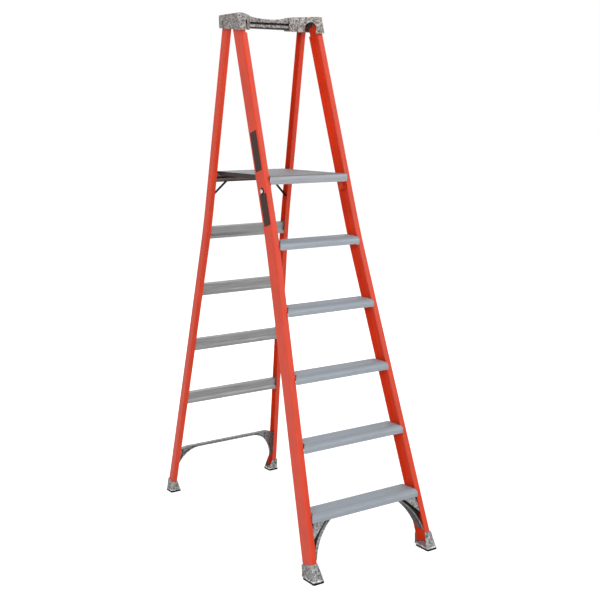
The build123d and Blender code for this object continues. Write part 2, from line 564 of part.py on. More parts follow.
def rest_bar_bracket(side):
    """Plate inside a rear rail that an end of the rest bar is fastened to."""
    face = band(REAR, side, -REAR_WALL, REAR_WALL + REST_BRACKET_SHEET, 0, REAR_TOP)
    plate = REAR.place * slab(face, REAR_WALL + FIT_GAP, REAR_WEB - REAR_WALL - FIT_GAP)
    return plate & below(REST_TOP_Z + REST_BRACKET_RISE) & above(REST_TOP_Z - REST_HEIGHT - REST_BRACKET_DROP)


def rear_knee_brace(side):
    """Flat strap from a rear rail up to the rest bar, with a seat at its lower end."""
    low = (STRUT_LOW[0], along(REAR, STRUT_LOW[1]))
    high = (STRUT_HIGH[0], along(REAR, STRUT_HIGH[1]))
    strap = slab(trace(Line(low, high), STRUT_WIDTH), STRUT_FACE, STRUT_FACE + STRUT_SHEET)
    seat = slab(Pos(*low) * Circle(STRUT_WIDTH / 2), STRUT_FACE, REAR_WEB - REAR_WALL)
    return REAR.place * mirrored(strap + seat, side)


# Cast braces


def channel_edge(frame, z):
    """X of the flange tips of the right-hand rail at a height, less a hair of air."""
    return half_width(frame, along(frame, z)) - frame.flange - FIT_GAP / 2


def front_brace(side):
    """Cast knee brace under the lowest tread: a deep arched strip with a bevelled rim, and a corner plate."""
    roof_z = FIRST_TREAD_Z - TREAD_SHEET
    tip_low, tip_high = channel_edge(FRONT, BRACE_LOW_Z), channel_edge(FRONT, roof_z)

    def upright(face):
        return extrude(Plane.XZ * face, amount=3 * BIG, both=True)

    def leaning(front, rear):
        return FRONT.place * slab(Rectangle(4 * BIG, 4 * BIG), front, rear)

    def shape(points):
        return upright(make_face(Polyline(*points, close=True)))

    def arch_section(depth, radius):
        rise = along(FRONT, FRONT_ARCH_Z) + depth * tan(radians(FRONT_LEAN))
        face = Pos(FRONT_ARCH_X, rise) * Ellipse(radius, along(FRONT, radius))
        return Pos(0, depth, 0) * Rot(90, 0, 0) * face

    inner_low, inner_high = (BRACE_INNER_X, BRACE_LOW_Z), (BRACE_INNER_X, roof_z)
    field = shape([inner_low, (tip_low, BRACE_LOW_Z), (tip_high, roof_z), inner_high])
    field -= upright(Pos(FRONT_ARCH_X, FRONT_ARCH_Z) * Circle(FRONT_ARCH_R))
    beside, over = (BIG, CHORD_LOW[1]), (CHORD_HIGH[0], roof_z)
    corner = field & shape([CHORD_HIGH, CHORD_LOW, beside, (BIG, roof_z), over])
    chord = corner & upright(trace(Line(CHORD_HIGH, CHORD_LOW), 2 * BRACE_PLATE))
    strip = field & upright(Pos(FRONT_ARCH_X, FRONT_ARCH_Z) * Circle(FRONT_ARCH_R + BRACE_RIM))
    rims = [
        arch_section(BRACE_FRONT, FRONT_ARCH_R + BRACE_EDGE),
        arch_section(BRACE_VALLEY, FRONT_ARCH_R + BRACE_BEVEL),
    ]
    valley = leaning(BRACE_VALLEY, BRACE_VALLEY + BRACE_PLATE)
    body = field & (FRONT.place * loft(rims, ruled=True) + valley)
    body += strip & leaning(BRACE_VALLEY, BRACE_REAR)
    body += corner & leaning(BRACE_FRONT, BRACE_FRONT + BRACE_PLATE)
    body += chord & leaning(BRACE_FRONT, BRACE_VALLEY + BRACE_PLATE)
    body -= shape(CORNER_GAP)
    roof = block(CHORD_HIGH[0], BIG, -3 * BIG, 3 * BIG, roof_z - BRACE_PLATE, roof_z)
    body += field & roof & leaning(BRACE_FRONT, BRACE_REAR)
    post = band(FRONT, 1, -FRONT_FLANGE, FRONT_FLANGE + BRACE_RIM, 0, FRONT_TOP)
    body += field & FRONT.place * slab(post, BRACE_VALLEY, BRACE_REAR)
    tab = band(FRONT, 1, -FRONT_WALL - FIT_GAP, FRONT_FLANGE + BRACE_RIM, 0, FRONT_TOP)
    tab_rear = FRONT_WEB - FRONT_WALL - FIT_GAP
    tab = FRONT.place * slab(tab, tab_rear - 2 * BRACE_PLATE, tab_rear)
    body += tab & above(BRACE_TAB_LOW) & below(BRACE_TAB_HIGH)
    reach = FRONT_FLANGE + TREAD_END_GAP + BRACKET_STEP + BRACKET_REACH + FIT_GAP
    room = band(FRONT, 1, 0, reach, 0, FRONT_TOP)
    half_depth = BRACKET_DEPTH / 2 + FIT_GAP
    room = FRONT.place * slab(room, FRONT_WEB / 2 - half_depth, FRONT_WEB / 2 + half_depth)
    body -= room & above(FIRST_TREAD_Z - BRACKET_SHELF - BRACKET_SHEET - FIT_GAP)
    return mirrored(body, side)


def rear_foot_brace():
    """Cast brace at the foot of the rear frame: a thin bar with a ribbed, arched gusset at each end."""
    arch_z, low = along(REAR, REAR_ARCH_Z), along(REAR, FOOT_BAR_LOW_Z)
    high = along(REAR, FOOT_BAR_TOP_Z)
    rise = along(REAR, REAR_ARCH_B)

    def arch(grow):
        end = Ellipse(REAR_ARCH_A + grow, rise + grow)
        ends = [Pos(x, arch_z) * end for x in (-REAR_ARCH_X, REAR_ARCH_X)]
        middle = Pos(0, arch_z) * Rectangle(2 * REAR_ARCH_X, 2 * (rise + grow))
        return middle + ends

    drop = high - FOOT_BAR_FALL * (BIG - FOOT_BAR_FALL_X)
    right = [(BIG, low), (BIG, drop), (FOOT_BAR_FALL_X, high)]
    left = [(-x, v) for x, v in reversed(right)]
    field = make_face(Polyline(*right, *left, close=True))
    pockets = Pos(0, -FOOT_BAR_RIM) * field - arch(FOOT_BAR_RIM)
    body = slab(field - arch(0), FOOT_BAR_FRONT, FOOT_BAR_REAR)
    for side in SIDES.values():
        pockets -= Pos(side * GUSSET_RIB_X, high) * Rectangle(FOOT_BAR_RIM, BIG)
        body -= slab(band(REAR, side, BIG, REAR_WALL + FIT_GAP, 0, REAR_TOP), -BIG, BIG)
    return REAR.place * (body - slab(pockets, FOOT_BAR_FRONT - OVERCUT, FOOT_BAR_REAR - FOOT_BAR_PLATE))


# Boots and pads


def boot(frame, side, pad, rear_y, top):
    """Cast boot round the foot of a rail, open on its inner side."""
    inner, outer, front_y, _ = pad
    width, depth = outer - inner, rear_y - front_y
    middle = Pos((inner + outer) / 2, (front_y + rear_y) / 2, PAD_T)
    rim = extrude(middle * RectangleRounded(width, depth, PAD_CORNER), amount=SOLE_RIM)
    sole = RectangleRounded(width - 2 * SOLE_STEP, depth - 2 * SOLE_STEP, PAD_CORNER)
    sole = middle * Pos(0, 0, SOLE_RIM / 2) * sole
    outer_top = half_width(frame, top) + BOOT_WALL
    inner_top = half_width(frame, top) - frame.flange - BOOT_LIP_IN
    collar_face = RectangleRounded(outer_top - inner_top, frame.web + 2 * BOOT_WALL, PAD_CORNER)
    collar = frame.place * Pos((outer_top + inner_top) / 2, frame.web / 2, top) * collar_face
    body = rim + loft([sole, collar], ruled=True)
    socket = band(frame, 1, BOOT_CLEAR, BIG, -BIG, FRONT_TOP)
    body -= frame.place * slab(socket, -BOOT_CLEAR, frame.web + BOOT_CLEAR) & above(SOLE_TOP)
    lip = half_width(frame, 0) - inner - SOLE_LIP
    pocket = band(frame, 1, -2 * frame.wall, lip, -BIG, FRONT_TOP)
    pocket = slab(pocket, 2 * frame.wall, frame.web - 2 * frame.wall)
    body -= frame.place * pocket & above(PAD_T + SOLE_FLOOR) & below(SOLE_TOP + SOLE_LIP)
    return mirrored(body, side)


def rubber_pad(side, pad):
    """Rubber tread under a boot, grooved across."""
    inner, outer, front_y, rear_y = pad
    width, depth = outer - inner, rear_y - front_y
    body = extrude(RectangleRounded(width, depth, PAD_CORNER), amount=PAD_T)
    pitch = depth / (PAD_GROOVES + 1)
    for i in range(PAD_GROOVES):
        y = (i + 1) * pitch - depth / 2
        body -= Pos(0, y, 0) * Box(BIG, PAD_GROOVE, 2 * PAD_GROOVE_DEPTH)
    return mirrored(Pos((inner + outer) / 2, (front_y + rear_y) / 2, 0) * body, side)


# Named pieces


def pieces():
    """Every piece of the ladder by its name."""
    named = {"platform_deck": platform_deck(), "guard_bar": guard_bar()}
    named["platform_rest_bar"] = platform_rest_bar()
    named["rear_foot_brace"] = rear_foot_brace()
    for number in range(1, TREAD_COUNT + 1):
        named[f"tread_{number}"] = tread(number)
    for number in range(1, REAR_BAR_COUNT + 1):
        named[f"rear_bar_{number}"] = rear_bar(number)
    for hand, side in SIDES.items():
        named[f"front_rail_{hand}"] = front_rail(side)
        named[f"rear_rail_{hand}"] = rear_rail(side)
        brackets = [tread_bracket(number, side) for number in range(1, TREAD_COUNT + 1)]
        named[f"tread_brackets_{hand}"] = Compound(brackets)
        named[f"front_brace_{hand}"] = front_brace(side)
        named[f"front_boot_{hand}"] = boot(FRONT, side, FRONT_PAD, FRONT_BOOT_REAR_Y, FRONT_BOOT_TOP)
        named[f"front_pad_{hand}"] = rubber_pad(side, FRONT_PAD)
        named[f"rear_boot_{hand}"] = boot(REAR, side, REAR_PAD, REAR_PAD[3], REAR_BOOT_TOP)
        named[f"rear_pad_{hand}"] = rubber_pad(side, REAR_PAD)
        named[f"guard_end_{hand}"] = guard_end(side)
        named[f"rear_hinge_pin_{hand}"] = rear_hinge_pin(side)
        named[f"rear_hinge_bush_{hand}"] = rear_hinge_bush(side)
        named[f"rest_bar_bracket_{hand}"] = rest_bar_bracket(side)
        named[f"rear_knee_brace_{hand}"] = rear_knee_brace(side)
        named[f"platform_arm_{hand}"] = platform_arm(side)
        named[f"platform_pivot_bolt_{hand}"] = platform_pivot_bolt(side)
        named[f"platform_spacer_{hand}"] = platform_spacer(side)
    return named


os.makedirs("parts", exist_ok=True)
for name, piece in pieces().items():
    export_step(piece, f"parts/{name}.step")
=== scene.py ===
from collections import namedtuple
from math import copysign, radians, sqrt

import bmesh
import bpy
from bpy.props import FloatProperty, FloatVectorProperty, PointerProperty
from mathutils import Matrix, Vector


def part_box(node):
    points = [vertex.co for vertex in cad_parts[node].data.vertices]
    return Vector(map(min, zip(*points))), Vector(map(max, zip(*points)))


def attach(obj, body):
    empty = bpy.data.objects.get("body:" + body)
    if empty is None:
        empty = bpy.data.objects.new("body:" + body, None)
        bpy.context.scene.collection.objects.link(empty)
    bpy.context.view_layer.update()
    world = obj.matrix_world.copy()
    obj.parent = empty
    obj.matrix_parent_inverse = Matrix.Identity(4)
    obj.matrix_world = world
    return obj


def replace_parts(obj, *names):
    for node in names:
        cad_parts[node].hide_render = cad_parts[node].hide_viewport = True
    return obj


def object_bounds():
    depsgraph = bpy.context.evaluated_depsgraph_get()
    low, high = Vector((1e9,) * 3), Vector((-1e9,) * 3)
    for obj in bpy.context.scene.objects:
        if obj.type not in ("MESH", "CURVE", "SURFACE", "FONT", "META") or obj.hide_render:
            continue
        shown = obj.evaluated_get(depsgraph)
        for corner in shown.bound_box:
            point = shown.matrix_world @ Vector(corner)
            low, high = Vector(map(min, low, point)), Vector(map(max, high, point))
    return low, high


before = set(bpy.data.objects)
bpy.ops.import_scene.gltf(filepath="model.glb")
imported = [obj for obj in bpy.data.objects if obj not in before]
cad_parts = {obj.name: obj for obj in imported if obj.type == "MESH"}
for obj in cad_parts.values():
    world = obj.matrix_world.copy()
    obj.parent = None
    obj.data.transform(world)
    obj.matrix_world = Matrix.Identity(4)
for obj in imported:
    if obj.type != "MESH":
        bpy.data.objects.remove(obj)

bl_info = {
    "name": "Platform Ladder Finish",
    "version": (1, 0, 0),
    "blender": (4, 5, 0),
    "location": "3D View > Sidebar > Ladder",
    "description": "Gives a platform ladder finishes, tread noses, fasteners and plates, on a studio floor",
    "category": "Object",
}

CAD_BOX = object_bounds()
MM = 0.001
SIDES = {"left": -1, "right": 1}
TREAD_COUNT = 5
REAR_BAR_COUNT = 4
FRONT_BODY, REAR_BODY, PLATFORM_BODY = "front_frame", "rear_frame", "platform"
UPWARD, FORWARD = (0, 0, 1), (0, -1, 0)
PAST_FULL = 1.1                     # just past the measure of a normal that lies right along a direction
NOISE_LOW, NOISE_HIGH = 0.3, 0.7    # most of a noise texture's values lie between these
WHITE = (1, 1, 1, 1)
FLOOR_REACH = 40.0                  # metres from the ladder to the floor's edges

# Each lamp's place, width and height in metres, and its power in watts
LAMPS = {
    "overhead": ((-1.2, 0.4, 5.5), 3.5, 3.5, 98),
    "front_right": ((3.6, -5.2, 5.0), 3.0, 7.0, 170),
    "front_left": ((-4.5, -4.9, 2.6), 4.0, 4.0, 280),
    "right_fill": ((6.2, 0.3, 2.6), 4.0, 4.0, 170),
    "back_fill": ((0.6, 5.6, 5.0), 4.0, 4.0, 150),
}

# The tone that a finish takes where a measure along a direction lies between two values
Band = namedtuple("Band", "way low high tone")


# Shared helpers


def mm(*sizes):
    """Millimetres as metres, one number or several."""
    metres = [size * MM for size in sizes]
    return metres[0] if len(metres) == 1 else metres


def linear(code):
    """An sRGB hex colour as linear red, green and blue."""
    channels = [int(code[i:i + 2], 16) / 255 for i in (1, 3, 5)]
    return [c / 12.92 if c <= 0.04045 else ((c + 0.055) / 1.055) ** 2.4 for c in channels]


def opaque(colour):
    """A colour with full alpha, as colour sockets take it."""
    return (*colour[:3], 1.0)


def shade(colour, factor):
    """A lighter or darker tone of a colour."""
    return opaque([min(1.0, c * factor) for c in colour[:3]])


def add(tree, kind, inputs=None, **settings):
    """Add a node with its settings, and give each input a value or a link."""
    made = tree.nodes.new(kind)
    for name, value in settings.items():
        setattr(made, name, value)
    for socket, value in (inputs or {}).items():
        if isinstance(value, bpy.types.NodeSocket):
            tree.links.new(value, made.inputs[socket])
        else:
            made.inputs[socket].default_value = value
    return made


def set_stops(ramp, dark, light, low=NOISE_LOW, high=NOISE_HIGH):
    """Run a colour ramp from a dark tone to a light one between two values."""
    for stop, place, tone in zip(ramp.color_ramp.elements, (low, high), (dark, light)):
        stop.position = place
        stop.color = tone


def blank_material(name):
    """A material, its node tree, and the tree's first node, which gives places and normals."""
    made = bpy.data.materials.new(name)
    made.use_nodes = True
    tree = made.node_tree
    tree.nodes.clear()
    return made, tree, add(tree, "ShaderNodeTexCoord")


def finish_nodes(names, material):
    """Give CAD nodes their finish."""
    for name in names:
        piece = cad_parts[name]
        if not piece.material_slots:
            piece.data.materials.append(material)
        for holder in piece.material_slots:
            holder.material = material


def both(name):
    """The left and right nodes of a pair."""
    return [f"{name}_{hand}" for hand in SIDES]


def cross_section(node, height):
    """Lowest and highest x and y where a CAD node passes through a height."""
    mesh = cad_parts[node].data
    xs, ys = [], []
    for edge in mesh.edges:
        low, high = sorted((mesh.vertices[v].co for v in edge.vertices), key=lambda p: p.z)
        if low.z <= height < high.z:
            point = low.lerp(high, (height - low.z) / (high.z - low.z))
            xs.append(point.x)
            ys.append(point.y)
    if not xs:
        raise RuntimeError(f"{node} does not reach {height:.3f} m")
    return min(xs), max(xs), min(ys), max(ys)


def rail_axis(node):
    """Mean direction of a rail, from a section near its foot to one near its top."""
    low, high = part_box(node)
    ends = []
    for share in (0.1, 0.9):
        height = low.z + share * (high.z - low.z)
        x0, x1, y0, y1 = cross_section(node, height)
        ends.append(Vector(((x0 + x1) / 2, (y0 + y1) / 2, height)))
    return (ends[1] - ends[0]).normalized()


def seat_on(node, start, aim):
    """Where a line from a point first meets a CAD node, and which way the face looks."""
    hit, place, facing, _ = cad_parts[node].ray_cast(Vector(start), Vector(aim))
    if not hit:
        raise RuntimeError(f"nothing of {node} lies that way")
    return place, facing


def joined(context, name, mesh, body):
    """A finished mesh as a piece that rides on a body."""
    made = bpy.data.objects.new(name, mesh)
    context.scene.collection.objects.link(made)
    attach(made, body)
    return made


# Fasteners


def head_tree(name, sizes):
    """A node tree for fastener heads, with named inputs for its sizes and its material."""
    tree = bpy.data.node_groups.new(name, "GeometryNodeTree")
    tree.interface.new_socket("Geometry", in_out="INPUT", socket_type="NodeSocketGeometry")
    for size in sizes:
        tree.interface.new_socket(size, in_out="INPUT", socket_type="NodeSocketFloat")
    tree.interface.new_socket("Material", in_out="INPUT", socket_type="NodeSocketMaterial")
    tree.interface.new_socket("Geometry", in_out="OUTPUT", socket_type="NodeSocketGeometry")
    return tree, add(tree, "NodeGroupInput")


def place_heads(tree, given, head, smooth):
    """Put a head on every point, turned the way that its face looks, and end the tree."""
    facing = add(tree, "GeometryNodeInputNamedAttribute", {"Name": "facing"}, data_type="FLOAT_VECTOR")
    turn = add(tree, "FunctionNodeAlignRotationToVector", {"Vector": facing.outputs["Attribute"]}, axis="Z")
    heads = add(tree, "GeometryNodeInstanceOnPoints", {
        "Points": given.outputs["Geometry"], "Instance": head, "Rotation": turn.outputs["Rotation"],
    })
    solid = add(tree, "GeometryNodeRealizeInstances", {"Geometry": heads.outputs["Instances"]})
    shaded = add(tree, "GeometryNodeSetShadeSmooth", {
        "Geometry": solid.outputs["Geometry"], "Shade Smooth": smooth,
    })
    coated = add(tree, "GeometryNodeSetMaterial", {
        "Geometry": shaded.outputs["Geometry"], "Material": given.outputs["Material"],
    })
    add(tree, "NodeGroupOutput", {"Geometry": coated.outputs["Geometry"]})


def domed_rivets():
    """Heads of rivets, caps and washers: a low dome with a flat seat."""
    tree, given = head_tree("domed_rivets", ("Diameter", "Height"))
    ball = add(tree, "GeometryNodeMeshUVSphere", {"Segments": 16, "Rings": 8, "Radius": 1.0})
    point = add(tree, "GeometryNodeInputPosition")
    parts = add(tree, "ShaderNodeSeparateXYZ", {"Vector": point.outputs["Position"]})
    seat = add(tree, "ShaderNodeMath", {0: parts.outputs["Z"], 1: 0.0}, operation="MAXIMUM")
    half = add(tree, "ShaderNodeCombineXYZ", {
        "X": parts.outputs["X"], "Y": parts.outputs["Y"], "Z": seat.outputs["Value"],
    })
    radius = add(tree, "ShaderNodeMath", {0: given.outputs["Diameter"], 1: 0.5}, operation="MULTIPLY")
    size = add(tree, "ShaderNodeCombineXYZ", {
        "X": radius.outputs["Value"], "Y": radius.outputs["Value"], "Z": given.outputs["Height"],
    })
    shaped = add(tree, "ShaderNodeVectorMath", {
        0: half.outputs["Vector"], 1: size.outputs["Vector"],
    }, operation="MULTIPLY")
    dome = add(tree, "GeometryNodeSetPosition", {
        "Geometry": ball.outputs["Mesh"], "Position": shaped.outputs["Vector"],
    })
    place_heads(tree, given, dome.outputs["Geometry"], True)
    return tree


def hexagon_bolts():
    """Bolt heads: a hexagon on a round washer."""
    tree, given = head_tree("hexagon_bolts", ("Width", "Height", "Washer"))
    pieces = []
    # Sides of the hexagon and of the washer, and their radius as a share of the width across the flats
    shapes = {"Height": (6, 0.577), "Washer": (24, 0.66)}
    for depth, (sides, share) in shapes.items():
        radius = add(tree, "ShaderNodeMath", {0: given.outputs["Width"], 1: share}, operation="MULTIPLY")
        disc = add(tree, "GeometryNodeMeshCylinder", {
            "Vertices": sides, "Radius": radius.outputs["Value"], "Depth": given.outputs[depth],
        })
        rise = add(tree, "ShaderNodeMath", {0: given.outputs[depth], 1: 0.5}, operation="MULTIPLY")
        lift = add(tree, "ShaderNodeCombineXYZ", {"Z": rise.outputs["Value"]})
        raised = add(tree, "GeometryNodeTransform", {
            "Geometry": disc.outputs["Mesh"], "Translation": lift.outputs["Vector"],
        })
        pieces.append(raised.outputs["Geometry"])
    both_shapes = add(tree, "GeometryNodeJoinGeometry")
    for piece in pieces:
        tree.links.new(piece, both_shapes.inputs["Geometry"])
    place_heads(tree, given, both_shapes.outputs["Geometry"], False)
    return tree


def fasten(context, tree, name, spots, values, body):
    """Make the heads of a tree at some spots into one plain mesh that rides on a body."""
    points = bpy.data.meshes.new(f"{name}_points")
    points.from_pydata([place for place, _ in spots], [], [])
    facing = points.attributes.new("facing", "FLOAT_VECTOR", "POINT")
    for index, (_, way) in enumerate(spots):
        facing.data[index].vector = way
    holder = bpy.data.objects.new(f"{name}_points", points)
    context.scene.collection.objects.link(holder)
    modifier = holder.modifiers.new(name, "NODES")
    modifier.node_group = tree
    for socket in tree.interface.items_tree:
        if socket.in_out == "INPUT" and socket.name in values:
            modifier[socket.identifier] = values[socket.name]
    shaped = holder.evaluated_get(context.evaluated_depsgraph_get())
    mesh = bpy.data.meshes.new_from_object(shaped)
    mesh.name = name
    bpy.data.objects.remove(holder)
    bpy.data.meshes.remove(points)
    if not mesh.polygons:
        raise RuntimeError(f"{name} came out empty")
    joined(context, name, mesh, body)


# Finishes


def pultruded_fibreglass(name, colour, turn, strand_width, strand_length):
    """Glass strands in resin, pulled through a die along the rail."""
    # Satin resin with an even pigment, faint streaks along the rail where strands lie near the skin,
    # and a slightly uneven gloss from the die.
    made, tree, place = blank_material(name)
    along = add(tree, "ShaderNodeMapping", {
        "Vector": place.outputs["Object"], "Rotation": turn,
        "Scale": (strand_width, strand_width, strand_length),
    }, vector_type="TEXTURE")
    strands = add(tree, "ShaderNodeTexNoise", {
        "Vector": along.outputs["Vector"], "Scale": 1.0, "Detail": 3.0, "Roughness": 0.6,
    })
    cloud_size = mm(90)
    cloud = add(tree, "ShaderNodeMapping", {
        "Vector": place.outputs["Object"], "Scale": (cloud_size, cloud_size, cloud_size),
    }, vector_type="TEXTURE")
    pigment = add(tree, "ShaderNodeTexNoise", {
        "Vector": cloud.outputs["Vector"], "Scale": 1.0, "Detail": 2.0,
    })
    streaked = add(tree, "ShaderNodeValToRGB", {"Fac": strands.outputs["Fac"]})
    set_stops(streaked, dark=shade(colour, 0.86), light=shade(colour, 1.08))
    tone = add(tree, "ShaderNodeMapRange", {
        "Value": pigment.outputs["Fac"], "From Min": NOISE_LOW, "From Max": NOISE_HIGH,
        "To Min": 0.93, "To Max": 1.05,
    })
    tinted = add(tree, "ShaderNodeMix", {
        0: 1.0, 6: streaked.outputs["Color"], 7: tone.outputs["Result"],
    }, data_type="RGBA", blend_type="MULTIPLY")
    gloss = add(tree, "ShaderNodeMapRange", {
        "Value": strands.outputs["Fac"], "From Min": NOISE_LOW, "From Max": NOISE_HIGH,
        "To Min": 0.27, "To Max": 0.4,
    })
    relief = add(tree, "ShaderNodeBump", {
        "Height": strands.outputs["Fac"], "Strength": 0.12, "Distance": mm(0.3),
    })
    skin = add(tree, "ShaderNodeBsdfPrincipled", {
        "Base Color": tinted.outputs[2], "Roughness": gloss.outputs["Result"],
        "Normal": relief.outputs["Normal"], "IOR": 1.5, "Specular IOR Level": 0.28,
    })
    add(tree, "ShaderNodeOutputMaterial", {"Surface": skin.outputs["BSDF"]})
    return made


def banded(tree, measured, coat, bands):
    """Tone a coat in bands of a measured place or normal."""
    for band in bands:
        depth = add(tree, "ShaderNodeVectorMath", {0: measured, 1: band.way}, operation="DOT_PRODUCT")
        inside = add(tree, "ShaderNodeMath", {
            0: depth.outputs["Value"], 1: (band.low + band.high) / 2, 2: (band.high - band.low) / 2,
        }, operation="COMPARE")
        mixed = add(tree, "ShaderNodeMix", {
            0: inside.outputs["Value"], 6: coat, 7: (band.tone, band.tone, band.tone, 1.0),
        }, data_type="RGBA", blend_type="MULTIPLY")
        coat = mixed.outputs[2]
    return coat


def drawn_aluminium(
    name, colour, side_colour, line_width, line_length, roughness, contrast, faces=(), bands=(),
):
    """Aluminium with the fine lines that a die or a mill leaves along the piece."""
    # A soft grey metal sheen that is drawn out along the piece, with fine lines and dull handling marks, a
    # tone of its own on the faces that look sideways, painted shade on faces picked by their normal, and
    # bands of painted shade.
    # The lines are drawn wider than real die lines, so that they show in the render.
    made, tree, place = blank_material(name)
    along = add(tree, "ShaderNodeMapping", {
        "Vector": place.outputs["Object"], "Scale": (line_length, line_width, line_width),
    }, vector_type="TEXTURE")
    lines = add(tree, "ShaderNodeTexNoise", {
        "Vector": along.outputs["Vector"], "Scale": 1.0, "Detail": 5.0, "Roughness": 0.65,
    })
    mark_size = mm(45)
    spread = add(tree, "ShaderNodeMapping", {
        "Vector": place.outputs["Object"], "Scale": (3 * mark_size, mark_size, mark_size),
    }, vector_type="TEXTURE")
    marks = add(tree, "ShaderNodeTexNoise", {
        "Vector": spread.outputs["Vector"], "Scale": 1.0, "Detail": 4.0, "Roughness": 0.7,
    })
    lined = add(tree, "ShaderNodeValToRGB", {"Fac": lines.outputs["Fac"]})
    set_stops(lined, dark=shade(colour, 1 - contrast), light=shade(colour, 1 + contrast))
    parts = add(tree, "ShaderNodeSeparateXYZ", {"Vector": place.outputs["Normal"]})
    sideways = add(tree, "ShaderNodeMath", {0: parts.outputs["X"]}, operation="ABSOLUTE")
    nearly_full = 0.95
    on_side = add(tree, "ShaderNodeMath", {
        0: sideways.outputs["Value"], 1: nearly_full,
    }, operation="GREATER_THAN")
    toned = add(tree, "ShaderNodeMix", {
        0: on_side.outputs["Value"], 6: lined.outputs["Color"], 7: opaque(side_colour),
    }, data_type="RGBA")
    dulled = add(tree, "ShaderNodeMapRange", {
        "Value": marks.outputs["Fac"], "From Min": NOISE_LOW, "From Max": NOISE_HIGH,
        "To Min": roughness - 0.07, "To Max": roughness + 0.09,
    })
    relief = add(tree, "ShaderNodeBump", {
        "Height": lines.outputs["Fac"], "Strength": 0.15, "Distance": mm(0.15),
    })
    # Bands by normal add painted shade, as on the treads' noses
    retoned = banded(tree, place.outputs["Normal"], toned.outputs[2], faces)
    # Bands by place add painted shade, as on the deck's top and along the rest bar's edges and groove
    skin = add(tree, "ShaderNodeBsdfPrincipled", {
        "Base Color": banded(tree, place.outputs["Object"], retoned, bands), "Metallic": 0.6,
        "Roughness": dulled.outputs["Result"], "Normal": relief.outputs["Normal"],
        "Specular IOR Level": 0.3,
    })
    add(tree, "ShaderNodeOutputMaterial", {"Surface": skin.outputs["BSDF"]})
    return made


def sand_cast_aluminium(name, colour, grain, mottle, contrast, bands):
    """Aluminium as it comes out of a sand mould and a tumbler."""
    # A pebbled, dull grey skin: the mould's sand grains dent it, dark oxide stays in the dents, the high
    # spots are worn bright, the undersides take painted shade, and bands add painted shade in hollows and
    # painted highlights on rims.
    # The mottling is drawn coarser than real sand grain, so that it shows in the render.
    made, tree, place = blank_material(name)
    fine = add(tree, "ShaderNodeMapping", {
        "Vector": place.outputs["Object"], "Scale": (grain, grain, grain),
    }, vector_type="TEXTURE")
    grains = add(tree, "ShaderNodeTexNoise", {
        "Vector": fine.outputs["Vector"], "Scale": 1.0, "Detail": 3.0, "Roughness": 0.6,
    })
    broad = add(tree, "ShaderNodeMapping", {
        "Vector": place.outputs["Object"], "Scale": (mottle, mottle, mottle),
    }, vector_type="TEXTURE")
    patches = add(tree, "ShaderNodeTexNoise", {
        "Vector": broad.outputs["Vector"], "Scale": 1.0, "Detail": 4.0, "Roughness": 0.65,
    })
    height = add(tree, "ShaderNodeMath", {
        0: grains.outputs["Fac"], 1: patches.outputs["Fac"],
    }, operation="ADD")
    retoned = add(tree, "ShaderNodeMapRange", {
        "Value": height.outputs["Value"], "From Min": 0.85, "From Max": 1.15,
    })
    mottled = add(tree, "ShaderNodeValToRGB", {"Fac": retoned.outputs["Result"]})
    set_stops(mottled, dark=shade(colour, 1 - contrast), light=shade(colour, 1 + contrast), low=0, high=1)
    parts = add(tree, "ShaderNodeSeparateXYZ", {"Vector": place.outputs["Normal"]})
    # Painted shade on faces that look downwards
    painted_underside_shade = add(tree, "ShaderNodeMapRange", {
        "Value": parts.outputs["Z"], "From Min": -0.6, "From Max": -0.25, "To Min": 0.25, "To Max": 1.0,
    })
    toned = add(tree, "ShaderNodeMix", {
        0: 1.0, 6: mottled.outputs["Color"], 7: painted_underside_shade.outputs["Result"],
    }, data_type="RGBA", blend_type="MULTIPLY")
    dulled = add(tree, "ShaderNodeMapRange", {
        "Value": retoned.outputs["Result"], "To Min": 0.72, "To Max": 0.5,
    })
    relief = add(tree, "ShaderNodeBump", {
        "Height": grains.outputs["Fac"], "Strength": 0.5, "Distance": grain / 4,
    })
    skin = add(tree, "ShaderNodeBsdfPrincipled", {
        "Base Color": banded(tree, place.outputs["Object"], toned.outputs[2], bands), "Metallic": 0.75,
        "Roughness": dulled.outputs["Result"], "Normal": relief.outputs["Normal"],
    })
    add(tree, "ShaderNodeOutputMaterial", {"Surface": skin.outputs["BSDF"]})
    return made


def zinc_plated_steel(name, colour, roughness):
    """Steel with a clear-passivated zinc coat."""
    # A silver sheen with soft cloudy patches, where the passivate lies thicker.
    made, tree, place = blank_material(name)
    patch = mm(14)
    broad = add(tree, "ShaderNodeMapping", {
        "Vector": place.outputs["Object"], "Scale": (patch, patch, patch),
    }, vector_type="TEXTURE")
    clouds = add(tree, "ShaderNodeTexNoise", {
        "Vector": broad.outputs["Vector"], "Scale": 1.0, "Detail": 3.0,
    })
    tone = add(tree, "ShaderNodeValToRGB", {"Fac": clouds.outputs["Fac"]})
    set_stops(tone, dark=shade(colour, 0.8), light=shade(colour, 1.1))
    dulled = add(tree, "ShaderNodeMapRange", {
        "Value": clouds.outputs["Fac"], "From Min": NOISE_LOW, "From Max": NOISE_HIGH,
        "To Min": roughness - 0.08, "To Max": roughness + 0.08,
    })
    skin = add(tree, "ShaderNodeBsdfPrincipled", {
        "Base Color": tone.outputs["Color"], "Metallic": 1.0, "Roughness": dulled.outputs["Result"],
    })
    add(tree, "ShaderNodeOutputMaterial", {"Surface": skin.outputs["BSDF"]})
    return made


